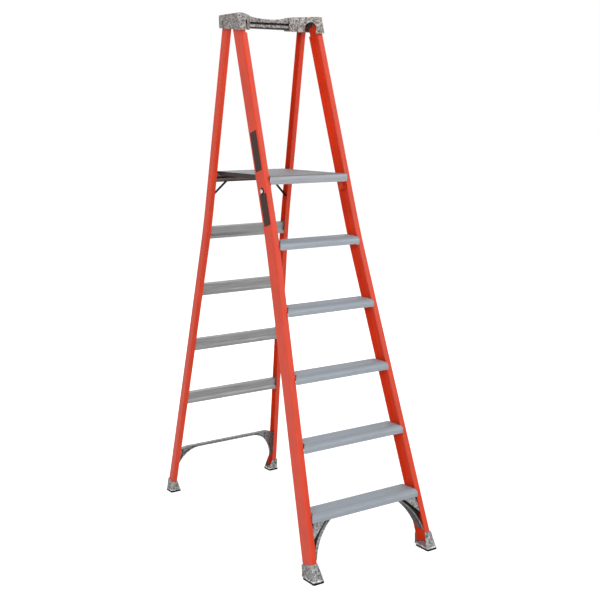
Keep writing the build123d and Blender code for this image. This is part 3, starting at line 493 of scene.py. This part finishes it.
def dull_polymer(name, colour, grain, roughness, specular):
    """Paint, film, rubber or nylon with a fine moulded or sprayed grain."""
    # One deep even colour, broken by a fine grain that takes the edge off highlights, and by dusty patches.
    made, tree, place = blank_material(name)
    fine = add(tree, "ShaderNodeMapping", {
        "Vector": place.outputs["Object"], "Scale": (grain, grain, grain),
    }, vector_type="TEXTURE")
    grains = add(tree, "ShaderNodeTexNoise", {
        "Vector": fine.outputs["Vector"], "Scale": 1.0, "Detail": 2.0,
    })
    patch = mm(25)
    broad = add(tree, "ShaderNodeMapping", {
        "Vector": place.outputs["Object"], "Scale": (patch, patch, patch),
    }, vector_type="TEXTURE")
    dust = add(tree, "ShaderNodeTexNoise", {
        "Vector": broad.outputs["Vector"], "Scale": 1.0, "Detail": 4.0,
    })
    tone = add(tree, "ShaderNodeValToRGB", {"Fac": dust.outputs["Fac"]})
    set_stops(tone, dark=shade(colour, 0.85), light=shade(colour, 1.3), low=0.35, high=0.75)
    relief = add(tree, "ShaderNodeBump", {
        "Height": grains.outputs["Fac"], "Strength": 0.25, "Distance": grain / 4,
    })
    dulled = add(tree, "ShaderNodeMapRange", {
        "Value": dust.outputs["Fac"], "From Min": NOISE_LOW, "From Max": NOISE_HIGH,
        "To Min": roughness - 0.06, "To Max": roughness + 0.06,
    })
    skin = add(tree, "ShaderNodeBsdfPrincipled", {
        "Base Color": tone.outputs["Color"], "Roughness": dulled.outputs["Result"],
        "Normal": relief.outputs["Normal"], "IOR": 1.5, "Specular IOR Level": specular,
    })
    add(tree, "ShaderNodeOutputMaterial", {"Surface": skin.outputs["BSDF"]})
    return made


# Settings


def colour_setting(name, description, code):
    """A colour that a user may change, from an sRGB hex value."""
    return FloatVectorProperty(
        name=name, description=description, subtype="COLOR", default=linear(code), min=0, max=1,
    )


def length_setting(name, description, millimetres):
    """A size that a user may change, given here in millimetres."""
    return FloatProperty(name=name, description=description, default=mm(millimetres), unit="LENGTH")


def angle_setting(name, description, degrees):
    """An angle that a user may change, given here in degrees."""
    return FloatProperty(name=name, description=description, default=radians(degrees), subtype="ANGLE")


class RailSettings(bpy.types.PropertyGroup):
    """Fibreglass of the rails"""

    colour: colour_setting("Resin", "Pigment of the fibreglass rails", "#D63E1F")
    strand_width: length_setting("Strand width", "Width of a streak of glass strands", 5)
    strand_length: length_setting("Strand length", "Length over which a streak fades", 320)


class MetalSettings(bpy.types.PropertyGroup):
    """Metals of the treads, bars, castings and fittings"""

    tread_colour: colour_setting("Treads", "Extruded aluminium of the treads", "#9DA4AB")
    deck_colour: colour_setting("Deck", "Extruded aluminium of the deck", "#929599")
    skirt_colour: colour_setting("Skirts", "Deck's side skirts, scuffed dark by the rails", "#3A322F")
    bar_colour: colour_setting("Bars", "Mill-finish aluminium of the bars", "#888888")
    rest_colour: colour_setting("Rest bar", "Darkened aluminium of the bar under the platform", "#6B5F59")
    guard_colour: colour_setting("Guard", "Sand-cast aluminium of the guard's ends", "#827D7A")
    guard_bar_colour: colour_setting("Guard bar", "Sand-cast aluminium of the guard's bar", "#868280")
    cast_colour: colour_setting("Castings", "Sand-cast aluminium of the braces and boots", "#828282")
    zinc_colour: colour_setting("Zinc", "Zinc plating of bolts, brackets and rivets", "#C4C6C8")
    pin_colour: colour_setting("Pins", "Tarnished zinc plating of the hinge pins", "#6F6B69")
    line_width: length_setting("Line width", "Width of a die line on drawn aluminium", 1.2)
    line_length: length_setting("Line length", "Length of a die line on drawn aluminium", 160)
    cast_grain: length_setting("Cast grain", "Size of a dent left by the mould's sand", 3)


class TreadSettings(bpy.types.PropertyGroup):
    """Shape of the treads' noses"""

    cad_round: length_setting("CAD round", "Round of the nose on the CAD treads", 16)
    full_round: length_setting("Full round", "Round of the nose on the finished treads", 28)
    end_depth: length_setting("End depth", "Depth of the solid ends of a nose", 18)
    end_taper: FloatProperty(
        name="End taper", description="Share of a nose's overlap on the rails that is gone at its rear",
        default=0.7, subtype="FACTOR", min=0, max=1,
    )


class FastenerSettings(bpy.types.PropertyGroup):
    """Rivets, bolts and blank plates"""

    rivet_diameter: length_setting("Rivet", "Diameter of a rivet head", 9)
    rivet_height: length_setting("Rivet height", "Height of a rivet head", 2.6)
    cap_diameter: length_setting("Cap", "Diameter of a pivot bolt's cap", 15.5)
    cap_height: length_setting("Cap height", "Height of a pivot bolt's cap", 4.6)
    washer_diameter: length_setting("Pivot washer", "Diameter of a pivot bolt's washer", 34)
    bolt_width: length_setting("Bolt", "Width across the flats of a bolt head", 8)
    bolt_height: length_setting("Bolt height", "Height of a bolt head with its washer", 6)
    washer_height: length_setting("Washer", "Thickness of a washer", 1.6)
    plate_thickness: length_setting("Plate", "Thickness of a blank plate on the rail", 0.6)
    plate_corner: length_setting("Plate corner", "Corner radius of a blank plate", 4)
    plate_colour: colour_setting("Plate film", "Dark film of the blank plates", "#382520")


class DarkSettings(bpy.types.PropertyGroup):
    """Black and nylon pieces"""

    strap_colour: colour_setting("Straps", "Black paint of the knee straps", "#0C0C0C")
    rubber_colour: colour_setting("Rubber", "Rubber of the foot pads and washers", "#0B0B0B")
    bush_colour: colour_setting("Bushes", "Nylon of the hinge bushes", "#DCDAD2")


class StageSettings(bpy.types.PropertyGroup):
    """Floor, light and camera"""

    floor_colour: colour_setting("Floor", "Floor paint", "#C8C8C8")
    camera_place: FloatVectorProperty(
        name="Camera", description="Where the camera stands", subtype="TRANSLATION",
        default=mm(-2777.0, -4222.0, 2023.7),
    )
    camera_yaw: angle_setting("Yaw", "Turn of the camera from straight ahead", -33.889)
    camera_tilt: angle_setting("Tilt", "Tilt of the camera up from looking straight down", 79.855)
    camera_roll: angle_setting("Roll", "Roll of the camera about its own axis", -0.137)
    lens: FloatProperty(
        name="Lens", description="Focal length on a 36 mm sensor", subtype="DISTANCE_CAMERA", default=63.03,
    )
    ambient: FloatProperty(
        name="Ambient", description="Light from all around", default=0.22, min=0,
    )


# Operators


class LADDER_OT_rails(bpy.types.Operator):
    """Finish the four rails in pultruded fibreglass"""

    bl_idname = "ladder.rails"
    bl_label = "Rails"

    def execute(self, context):
        rails = context.scene.ladder_rails
        for name in both("front_rail") + both("rear_rail"):
            turn = rail_axis(name).to_track_quat("Z", "Y").to_euler()
            finish = pultruded_fibreglass(
                f"pultruded_fibreglass_{name}", rails.colour, turn, rails.strand_width, rails.strand_length,
            )
            finish_nodes([name], finish)
        return {"FINISHED"}


class LADDER_OT_treads(bpy.types.Operator):
    """Give the treads full noses, and finish them and the deck in extruded aluminium"""

    bl_idname = "ladder.treads"
    bl_label = "Treads and deck"

    def round_drop(self, radius, back):
        """How far a round front edge lies under the flat top, at a distance behind the front."""
        ahead = max(0.0, radius - max(0.0, back))
        return radius - sqrt(radius**2 - ahead**2)

    def full_nose(self, node, shape):
        """A copy of a CAD tread with a rounder nose, whose ends taper back to the tread's own ends."""
        low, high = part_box(node)
        work = bmesh.new()
        work.from_mesh(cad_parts[node].data)
        bmesh.ops.remove_doubles(work, verts=work.verts, dist=mm(0.01))
        clear, close = mm(2), mm(0.5)
        behind = [vert.co for vert in work.verts if vert.co.y > low.y + shape.end_depth + clear]
        lowest = min(point.z for point in behind)
        upper_end = max(abs(point.x) for point in behind if point.z > high.z - close)
        lower_end = max(abs(point.x) for point in behind if point.z < lowest + close)
        flare = (lower_end - upper_end) / (high.z - lowest)
        round_depth = shape.cad_round + mm(1)
        for vert in work.verts:
            back, under = vert.co.y - low.y, high.z - vert.co.z
            overlap = abs(vert.co.x) - upper_end - flare * under
            if overlap > 0:
                gone = shape.end_taper * overlap * min(1.0, back / shape.end_depth)
                vert.co.x -= copysign(gone, vert.co.x)
            if under < round_depth:
                drop = self.round_drop(shape.full_round, back) - self.round_drop(shape.cad_round, back)
                vert.co.z -= drop
        crease = radians(30)
        for face in work.faces:
            face.smooth = True
        for edge in work.edges:
            edge.smooth = edge.calc_face_angle(0.0) < crease
        mesh = bpy.data.meshes.new(f"nosed_{node}")
        work.to_mesh(mesh)
        work.free()
        return mesh

    def execute(self, context):
        metals = context.scene.ladder_metals
        # Painted shade on the nose as it turns to the front, and a little less on the lip, which evens out
        # the sheen on it. Each tone starts where the normal looks that far forward, and comes on top of the
        # tones before it.
        painted_nose_shade = {0.15: 0.94, 0.3: 0.93, 0.45: 0.9, 0.6: 0.88, 0.85: 1.1, 0.93: 1.09}
        noses = [Band(FORWARD, turned, PAST_FULL, tone) for turned, tone in painted_nose_shade.items()]
        finish = drawn_aluminium(
            "extruded_aluminium", metals.tread_colour, metals.tread_colour,
            metals.line_width, metals.line_length, roughness=0.55, contrast=0.06, faces=noses,
        )
        for number in range(1, TREAD_COUNT + 1):
            node = f"tread_{number}"
            mesh = self.full_nose(node, context.scene.ladder_treads)
            mesh.materials.append(finish)
            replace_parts(joined(context, mesh.name, mesh, FRONT_BODY), node)
        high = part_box("platform_deck")[1].z
        below, above = mm(3, 1)
        # Painted shade on the deck's top face, from just below it to just above
        painted_top_shade = Band(UPWARD, high - below, high + above, tone=0.58)
        scuffed = drawn_aluminium(
            "top_painted_shade_extruded_aluminium", metals.deck_colour, metals.skirt_colour,
            3 * metals.line_width, metals.line_length, roughness=0.55, contrast=0.18, bands=[painted_top_shade],
        )
        finish_nodes(["platform_deck"], scuffed)
        return {"FINISHED"}


class LADDER_OT_bars(bpy.types.Operator):
    """Finish the rear bars and the rest bar in mill aluminium"""

    bl_idname = "ladder.bars"
    bl_label = "Bars"

    def execute(self, context):
        metals = context.scene.ladder_metals
        finish = drawn_aluminium(
            "mill_aluminium", metals.bar_colour, metals.bar_colour,
            2 * metals.line_width, metals.line_length, roughness=0.45, contrast=0.32,
        )
        names = [f"rear_bar_{number}" for number in range(1, REAR_BAR_COUNT + 1)]
        finish_nodes(names, finish)
        low, high = (corner.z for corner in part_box("platform_rest_bar"))
        edge = mm(5)
        groove_low, groove_high = mm(18, 26)
        # Painted shade along the rest bar's lower and upper edges and in its groove
        painted_bar_shade = [
            Band(UPWARD, low, low + edge, tone=0.15),
            Band(UPWARD, low + groove_low, low + groove_high, tone=0.1),
            Band(UPWARD, high - edge, high, tone=0.15),
        ]
        worn = drawn_aluminium(
            "edge_painted_shade_mill_aluminium", metals.rest_colour, metals.rest_colour,
            4 * metals.line_width, metals.line_length, roughness=0.55, contrast=0.4, bands=painted_bar_shade,
        )
        finish_nodes(["platform_rest_bar"], worn)
        return {"FINISHED"}


class LADDER_OT_castings(bpy.types.Operator):
    """Finish the guard, braces and boots in sand-cast aluminium"""

    bl_idname = "ladder.castings"
    bl_label = "Castings"

    def painted_rim_highlights(self):
        """Painted highlights along the boots' rims, at the sole."""
        sole, rim_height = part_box("front_boot_left")[0].z, mm(6)
        return [Band(UPWARD, sole, sole + rim_height, tone=2.0)]

    def painted_hollow_shade(self):
        """Painted shade in the hollows of the front braces, behind their ribs' front edges."""
        # Two heights on the straight lower stretch of a front rail give the lean of its front face
        low_z, high_z = mm(200, 1200)
        _, _, low_y, _ = cross_section("front_rail_left", low_z)
        _, _, high_y, _ = cross_section("front_rail_left", high_z)
        inward = Vector((0, high_z - low_z, low_y - high_y)).normalized()
        face = inward.dot(Vector((0, low_y, low_z)))
        rib, hollow, rear = mm(12, 27, 70)
        return [
            Band(inward, face + rib, face + hollow, tone=0.1),
            Band(inward, face + hollow, face + rear, tone=0.35),
        ]

    def painted_groove_shade(self):
        """Painted shade along the lower edge and in the groove of the guard's bar."""
        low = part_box("guard_bar")[0].z
        edge, groove_low, groove_high = mm(6, 18, 29)
        return [
            Band(UPWARD, low, low + edge, tone=0.1),
            Band(UPWARD, low + groove_low, low + groove_high, tone=0.1),
        ]

    def cast(self, metals, nodes, name, colour, mottle, contrast, bands=()):
        """Give castings a sand-cast finish of their own."""
        finish = sand_cast_aluminium(name, colour, metals.cast_grain, mottle, contrast, bands)
        finish_nodes(nodes, finish)

    def execute(self, context):
        metals = context.scene.ladder_metals
        self.cast(
            metals, both("front_boot") + both("rear_boot"), "rim_painted_highlight_sand_cast_aluminium",
            metals.cast_colour, mottle=mm(12), contrast=0.75, bands=self.painted_rim_highlights(),
        )
        self.cast(
            metals, ["rear_foot_brace"], "sand_cast_aluminium",
            metals.cast_colour, mottle=mm(9), contrast=0.6,
        )
        self.cast(
            metals, both("front_brace"), "hollow_painted_shade_sand_cast_aluminium",
            metals.cast_colour, mottle=mm(9), contrast=0.6, bands=self.painted_hollow_shade(),
        )
        self.cast(
            metals, both("guard_end"), "coarse_sand_cast_aluminium",
            metals.guard_colour, mottle=mm(10), contrast=0.8,
        )
        self.cast(
            metals, ["guard_bar"], "grooved_sand_cast_aluminium",
            metals.guard_bar_colour, mottle=mm(12), contrast=0.6, bands=self.painted_groove_shade(),
        )
        return {"FINISHED"}


class LADDER_OT_fittings(bpy.types.Operator):
    """Finish the brackets, pins and bolts in plated steel, and the straps, arms, pads and bushes"""

    bl_idname = "ladder.fittings"
    bl_label = "Fittings"

    def execute(self, context):
        metals = context.scene.ladder_metals
        dark = context.scene.ladder_dark
        paint = context.scene.ladder_rails.colour
        zinc = zinc_plated_steel("zinc_plated_steel", metals.zinc_colour, roughness=0.34)
        names = both("tread_brackets") + both("platform_pivot_bolt") + both("rest_bar_bracket")
        finish_nodes(names, zinc)
        dulled = zinc_plated_steel("tarnished_zinc_plated_steel", metals.pin_colour, roughness=0.6)
        finish_nodes(both("rear_hinge_pin"), dulled)
        black = dull_polymer(
            "black_painted_steel", dark.strap_colour, grain=mm(1.5), roughness=0.5, specular=0.3,
        )
        finish_nodes(both("rear_knee_brace"), black)
        red = dull_polymer("red_painted_steel", paint, grain=mm(1.5), roughness=0.5, specular=0.3)
        finish_nodes(both("platform_arm") + both("platform_spacer"), red)
        rubber = dull_polymer(
            "moulded_rubber", dark.rubber_colour, grain=mm(1), roughness=0.85, specular=0.15,
        )
        finish_nodes(both("front_pad") + both("rear_pad"), rubber)
        nylon = dull_polymer("moulded_nylon", dark.bush_colour, grain=mm(0.8), roughness=0.5, specular=0.5)
        finish_nodes(both("rear_hinge_bush"), nylon)
        return {"FINISHED"}


class LADDER_OT_plates(bpy.types.Operator):
    """Fix the blank dark plates to the outer face of the left front rail"""

    bl_idname = "ladder.plates"
    bl_label = "Blank plates"

    def plate(self, name, node, settings, low, high, front, rear):
        """Thin plate with round corners that follows a rail's outer face between two heights and depths."""
        _, _, low_y, _ = cross_section(node, low)
        _, _, high_y, _ = cross_section(node, high)
        foot = Vector((0, low_y, low))
        up = Vector((0, high_y - low_y, high - low))
        length = up.length
        up.normalize()
        back = Vector((0, up.z, -up.y))
        corner = settings.plate_corner
        ends = [corner * share for share in (0, 0.1, 0.35, 0.65, 1)]
        row_spacing, columns = mm(8), 9
        count = int((length - 2 * corner) / row_spacing)
        middle = [corner + (length - 2 * corner) * i / count for i in range(1, count)]
        runs = ends + middle + [length - run for run in reversed(ends)]
        work = bmesh.new()
        layers = []
        for raise_by in (settings.plate_thickness, -settings.plate_thickness / 2):
            rows = []
            for run in runs:
                inside = max(0.0, corner - min(run, length - run))
                narrow = corner - sqrt(corner**2 - inside**2)
                row = []
                for column in range(columns):
                    depth = front + narrow + (rear - front - 2 * narrow) * column / (columns - 1)
                    over = foot + back * depth + up * run
                    place, facing = seat_on(node, (-1, over.y, over.z), (1, 0, 0))
                    row.append(work.verts.new(place + facing * raise_by))
                rows.append(row)
            layers.append(rows)
            for lower, upper in zip(rows, rows[1:]):
                for i in range(columns - 1):
                    work.faces.new((lower[i], lower[i + 1], upper[i + 1], upper[i]))
        rims = []
        for rows in layers:
            right = [row[-1] for row in rows]
            left = [row[0] for row in reversed(rows)]
            rims.append(rows[0] + right[1:] + rows[-1][-2::-1] + left[1:-1])
        outer, inner = rims
        for i, vert in enumerate(outer):
            step = (i + 1) % len(outer)
            work.faces.new((vert, outer[step], inner[step], inner[i]))
        bmesh.ops.recalc_face_normals(work, faces=work.faces)
        mesh = bpy.data.meshes.new(name)
        work.to_mesh(mesh)
        work.free()
        return mesh

    def execute(self, context):
        settings = context.scene.ladder_fasteners
        film = dull_polymer("vinyl_film", settings.plate_colour, grain=mm(2), roughness=0.6, specular=0.2)
        plates = {
            "upper_plate": {"low": mm(1769), "high": mm(1947), "front": mm(8), "rear": mm(62)},
            "lower_plate": {"low": mm(1525), "high": mm(1667), "front": mm(5), "rear": mm(60)},
        }
        for name, place in plates.items():
            mesh = self.plate(name, "front_rail_left", settings, **place)
            mesh.materials.append(film)
            joined(context, name, mesh, FRONT_BODY)
        return {"FINISHED"}


class LADDER_OT_fasteners(bpy.types.Operator):
    """Set rivets in the brackets, guard and arms, caps and washers on the pivot bolts, and strap bolts"""

    bl_idname = "ladder.fasteners"
    bl_label = "Rivets and bolts"

    def bracket_rivets(self):
        """Two rivets in each leg and two under each flange of the tread brackets."""
        spots = []
        leg_drop, flange_inset, lean, below = mm(37, 40, 10, 20)
        for hand, side in SIDES.items():
            node = f"tread_brackets_{hand}"
            for number in range(1, TREAD_COUNT + 1):
                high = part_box(f"tread_{number}")[1]
                leg_z, flange_x = high.z - leg_drop, side * (high.x - flange_inset)
                _, _, front, rear = cross_section(f"front_rail_{hand}", leg_z)
                for shift in mm(-12, 12):
                    y = (front + rear) / 2 + shift
                    spots.append(seat_on(node, (0, y, leg_z), (side, 0, 0)))
                    spots.append(seat_on(node, (flange_x, y + lean, leg_z - below), (0, 0, 1)))
        return spots

    def guard_rivets(self):
        """Two rivets behind each guard arm, where it holds the bar."""
        spots = []
        inset = mm(14)
        low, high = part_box("guard_bar")
        for hand, side in SIDES.items():
            node = f"guard_end_{hand}"
            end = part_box(node)
            x = side * (min(abs(end[0].x), abs(end[1].x)) + inset)
            for share in (0.3, 0.65):
                z = low.z + share * (high.z - low.z)
                spots.append(seat_on(node, (x, 1, z), (0, -1, 0)))
        return spots

    def rest_rivets(self):
        """Two rivets below the rest bar in each of its brackets."""
        spots = []
        rise = mm(8)
        for hand, side in SIDES.items():
            node = f"rest_bar_bracket_{hand}"
            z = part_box(node)[0].z + rise
            _, _, front, rear = cross_section(node, z)
            for share in (0.25, 0.75):
                spots.append(seat_on(node, (0, front + share * (rear - front), z), (side, 0, 0)))
        return spots

    def pivot_caps(self):
        """A cap over the inner end of each platform pivot bolt."""
        spots = []
        lap = mm(2)
        for hand, side in SIDES.items():
            node = f"platform_pivot_bolt_{hand}"
            low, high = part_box(node)
            place, facing = seat_on(node, (0, (low.y + high.y) / 2, (low.z + high.z) / 2), (side, 0, 0))
            spots.append((place - facing * lap, facing))
        return spots

    def pivot_washers(self):
        """A washer on the rail's web around each platform pivot bolt."""
        spots = []
        beside = mm(12)
        for hand, side in SIDES.items():
            low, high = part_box(f"platform_pivot_bolt_{hand}")
            y, z = (low.y + high.y) / 2, (low.z + high.z) / 2
            # The web is open at the bolt, so the face is found beside it
            place, facing = seat_on(f"front_rail_{hand}", (side, y, z + beside), (-side, 0, 0))
            up = Vector(UPWARD) - facing * facing.z
            spots.append((place - up * beside, facing))
        return spots

    def arm_rivets(self):
        """Two rivets through each platform arm into the deck's skirt."""
        spots = []
        drop = mm(9)
        for hand, side in SIDES.items():
            node = f"platform_arm_{hand}"
            low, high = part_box(node)
            for share in (0.2, 0.75):
                y = low.y + share * (high.y - low.y)
                spots.append(seat_on(node, (side, y, high.z - drop), (-side, 0, 0)))
        return spots

    def strap_bolts(self):
        """A bolt at the lower end of each knee strap, and one behind its upper end."""
        spots = []
        inset = mm(5.5)
        for hand, side in SIDES.items():
            node = f"rear_knee_brace_{hand}"
            low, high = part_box(node)
            inner, outer = sorted((abs(low.x), abs(high.x)))
            spots.append(seat_on(node, (side * (outer - inset), 0, low.z + inset), (0, 1, 0)))
            spots.append(seat_on(node, (side * (inner + 2 * inset), 1, high.z - 2 * inset), (0, -1, 0)))
        return spots

    def execute(self, context):
        settings = context.scene.ladder_fasteners
        metals = context.scene.ladder_metals
        dark = context.scene.ladder_dark
        paint = context.scene.ladder_rails.colour
        domes, bolts = domed_rivets(), hexagon_bolts()
        zinc = zinc_plated_steel("zinc_plated_rivets", metals.zinc_colour, roughness=0.34)
        sizes = {"Diameter": settings.rivet_diameter, "Height": settings.rivet_height, "Material": zinc}
        groups = {
            FRONT_BODY: self.bracket_rivets() + self.guard_rivets(),
            REAR_BODY: self.rest_rivets(),
            PLATFORM_BODY: self.arm_rivets(),
        }
        for body, spots in groups.items():
            fasten(context, domes, f"rivets_{body}", spots, sizes, body)
        red = dull_polymer("red_moulded_caps", paint, grain=mm(1), roughness=0.5, specular=0.3)
        sizes = {"Diameter": settings.cap_diameter, "Height": settings.cap_height, "Material": red}
        fasten(context, domes, f"caps_{FRONT_BODY}", self.pivot_caps(), sizes, FRONT_BODY)
        rubber = dull_polymer(
            "moulded_rubber_washers", dark.rubber_colour, grain=mm(1), roughness=0.85, specular=0.15,
        )
        sizes = {"Diameter": settings.washer_diameter, "Height": settings.washer_height, "Material": rubber}
        fasten(context, domes, f"washers_{FRONT_BODY}", self.pivot_washers(), sizes, FRONT_BODY)
        black = dull_polymer(
            "black_painted_bolts", dark.strap_colour, grain=mm(1.5), roughness=0.5, specular=0.3,
        )
        sizes = {
            "Width": settings.bolt_width, "Height": settings.bolt_height, "Washer": settings.washer_height,
            "Material": black,
        }
        fasten(context, bolts, f"bolts_{REAR_BODY}", self.strap_bolts(), sizes, REAR_BODY)
        return {"FINISHED"}


class LADDER_OT_stage(bpy.types.Operator):
    """Set the floor, the soft lights and the camera"""

    bl_idname = "ladder.stage"
    bl_label = "Stage"

    def in_sight(self, tree):
        """A socket that is 1 where the camera looks, straight, in a reflection or through something clear."""
        path = add(tree, "ShaderNodeLightPath")
        straight = add(tree, "ShaderNodeMath", {
            0: path.outputs["Is Camera Ray"], 1: path.outputs["Is Glossy Ray"],
        }, operation="ADD")
        seen = add(tree, "ShaderNodeMath", {
            0: straight.outputs["Value"], 1: path.outputs["Is Transmission Ray"],
        }, operation="ADD", use_clamp=True)
        return seen.outputs["Value"]

    def floor_material(self, colour):
        """Pale floor that the camera sees as white, apart from the object's shadow."""
        made, tree, place = blank_material("painted_floor")
        paint = add(tree, "ShaderNodeBsdfDiffuse", {"Color": opaque(colour)})
        away = add(tree, "ShaderNodeVectorMath", {0: place.outputs["Object"]}, operation="LENGTH")
        # The lamps' light falls off away from the ladder, in metres, and the glow makes up for it
        whiter = add(tree, "ShaderNodeMapRange", {
            "Value": away.outputs["Value"], "From Min": 1.2, "From Max": 4.0, "To Min": 0.66, "To Max": 0.95,
        })
        lift = add(tree, "ShaderNodeEmission", {"Strength": whiter.outputs["Result"]})
        lifted = add(tree, "ShaderNodeAddShader", {0: paint.outputs["BSDF"], 1: lift.outputs["Emission"]})
        mixed = add(tree, "ShaderNodeMixShader", {
            "Fac": self.in_sight(tree), 1: paint.outputs["BSDF"], 2: lifted.outputs["Shader"],
        })
        add(tree, "ShaderNodeOutputMaterial", {"Surface": mixed.outputs["Shader"]})
        return made

    def white_world(self, ambient):
        """Plain light from all around, with a white background behind the object."""
        world = bpy.data.worlds.new("studio")
        world.use_nodes = True
        tree = world.node_tree
        tree.nodes.clear()
        soft = add(tree, "ShaderNodeBackground", {"Color": WHITE, "Strength": ambient})
        white = add(tree, "ShaderNodeBackground", {"Color": WHITE, "Strength": 1.0})
        mixed = add(tree, "ShaderNodeMixShader", {
            "Fac": self.in_sight(tree), 1: soft.outputs["Background"], 2: white.outputs["Background"],
        })
        add(tree, "ShaderNodeOutputWorld", {"Surface": mixed.outputs["Shader"]})
        return world

    def softbox(self, context, name, place, target, width, height, power):
        """Large soft lamp that looks at a point."""
        lamp = bpy.data.lights.new(name, "AREA")
        lamp.shape = "RECTANGLE"
        lamp.size, lamp.size_y = width, height
        lamp.energy = power
        holder = bpy.data.objects.new(name, lamp)
        holder.location = place
        holder.rotation_euler = (target - Vector(place)).to_track_quat("-Z", "Y").to_euler()
        context.scene.collection.objects.link(holder)

    def execute(self, context):
        stage = context.scene.ladder_stage
        mesh = bpy.data.meshes.new("floor")
        corners = [(x * FLOOR_REACH, y * FLOOR_REACH, 0) for x, y in ((-1, -1), (1, -1), (1, 1), (-1, 1))]
        mesh.from_pydata(corners, [], [(0, 1, 2, 3)])
        mesh.materials.append(self.floor_material(stage.floor_colour))
        floor = bpy.data.objects.new("floor", mesh)
        context.scene.collection.objects.link(floor)
        context.scene.world = self.white_world(stage.ambient)
        middle = (CAD_BOX[0] + CAD_BOX[1]) / 2
        for name, (place, width, height, power) in LAMPS.items():
            self.softbox(context, name, place, middle, width, height, power)
        lens = bpy.data.cameras.new("camera")
        lens.lens = stage.lens
        camera = bpy.data.objects.new("camera", lens)
        turn = Matrix.Rotation(stage.camera_yaw, 4, "Z")
        turn @= Matrix.Rotation(stage.camera_tilt, 4, "X")
        turn @= Matrix.Rotation(stage.camera_roll, 4, "Z")
        camera.matrix_world = Matrix.Translation(stage.camera_place) @ turn
        context.scene.collection.objects.link(camera)
        context.scene.camera = camera
        context.scene.view_settings.view_transform = "Standard"
        return {"FINISHED"}


class LADDER_PT_panel(bpy.types.Panel):
    """Sidebar panel with the ladder's settings and steps"""

    bl_idname = "LADDER_PT_panel"
    bl_label = "Platform Ladder"
    bl_space_type = "VIEW_3D"
    bl_region_type = "UI"
    bl_category = "Ladder"

    def draw(self, context):
        for group in SETTINGS:
            settings = getattr(context.scene, group)
            for name in settings.bl_rna.properties.keys():
                if name not in ("rna_type", "name"):
                    self.layout.prop(settings, name)
        for step in STEPS:
            self.layout.operator(step.bl_idname)


SETTINGS = {
    "ladder_rails": RailSettings,
    "ladder_metals": MetalSettings,
    "ladder_treads": TreadSettings,
    "ladder_dark": DarkSettings,
    "ladder_fasteners": FastenerSettings,
    "ladder_stage": StageSettings,
}
STEPS = (
    LADDER_OT_stage,
    LADDER_OT_rails,
    LADDER_OT_treads,
    LADDER_OT_bars,
    LADDER_OT_castings,
    LADDER_OT_fittings,
    LADDER_OT_plates,
    LADDER_OT_fasteners,
)
CLASSES = (*SETTINGS.values(), *STEPS, LADDER_PT_panel)


def register():
    for made in CLASSES:
        bpy.utils.register_class(made)
    for name, group in SETTINGS.items():
        setattr(bpy.types.Scene, name, PointerProperty(type=group))


def unregister():
    for name in SETTINGS:
        delattr(bpy.types.Scene, name)
    for made in reversed(CLASSES):
        bpy.utils.unregister_class(made)


def main():
    """Run every step."""
    register()
    bpy.ops.ladder.stage()
    bpy.ops.ladder.rails()
    bpy.ops.ladder.treads()
    bpy.ops.ladder.bars()
    bpy.ops.ladder.castings()
    bpy.ops.ladder.fittings()
    bpy.ops.ladder.plates()
    bpy.ops.ladder.fasteners()


if __name__ == "__main__":
    main()
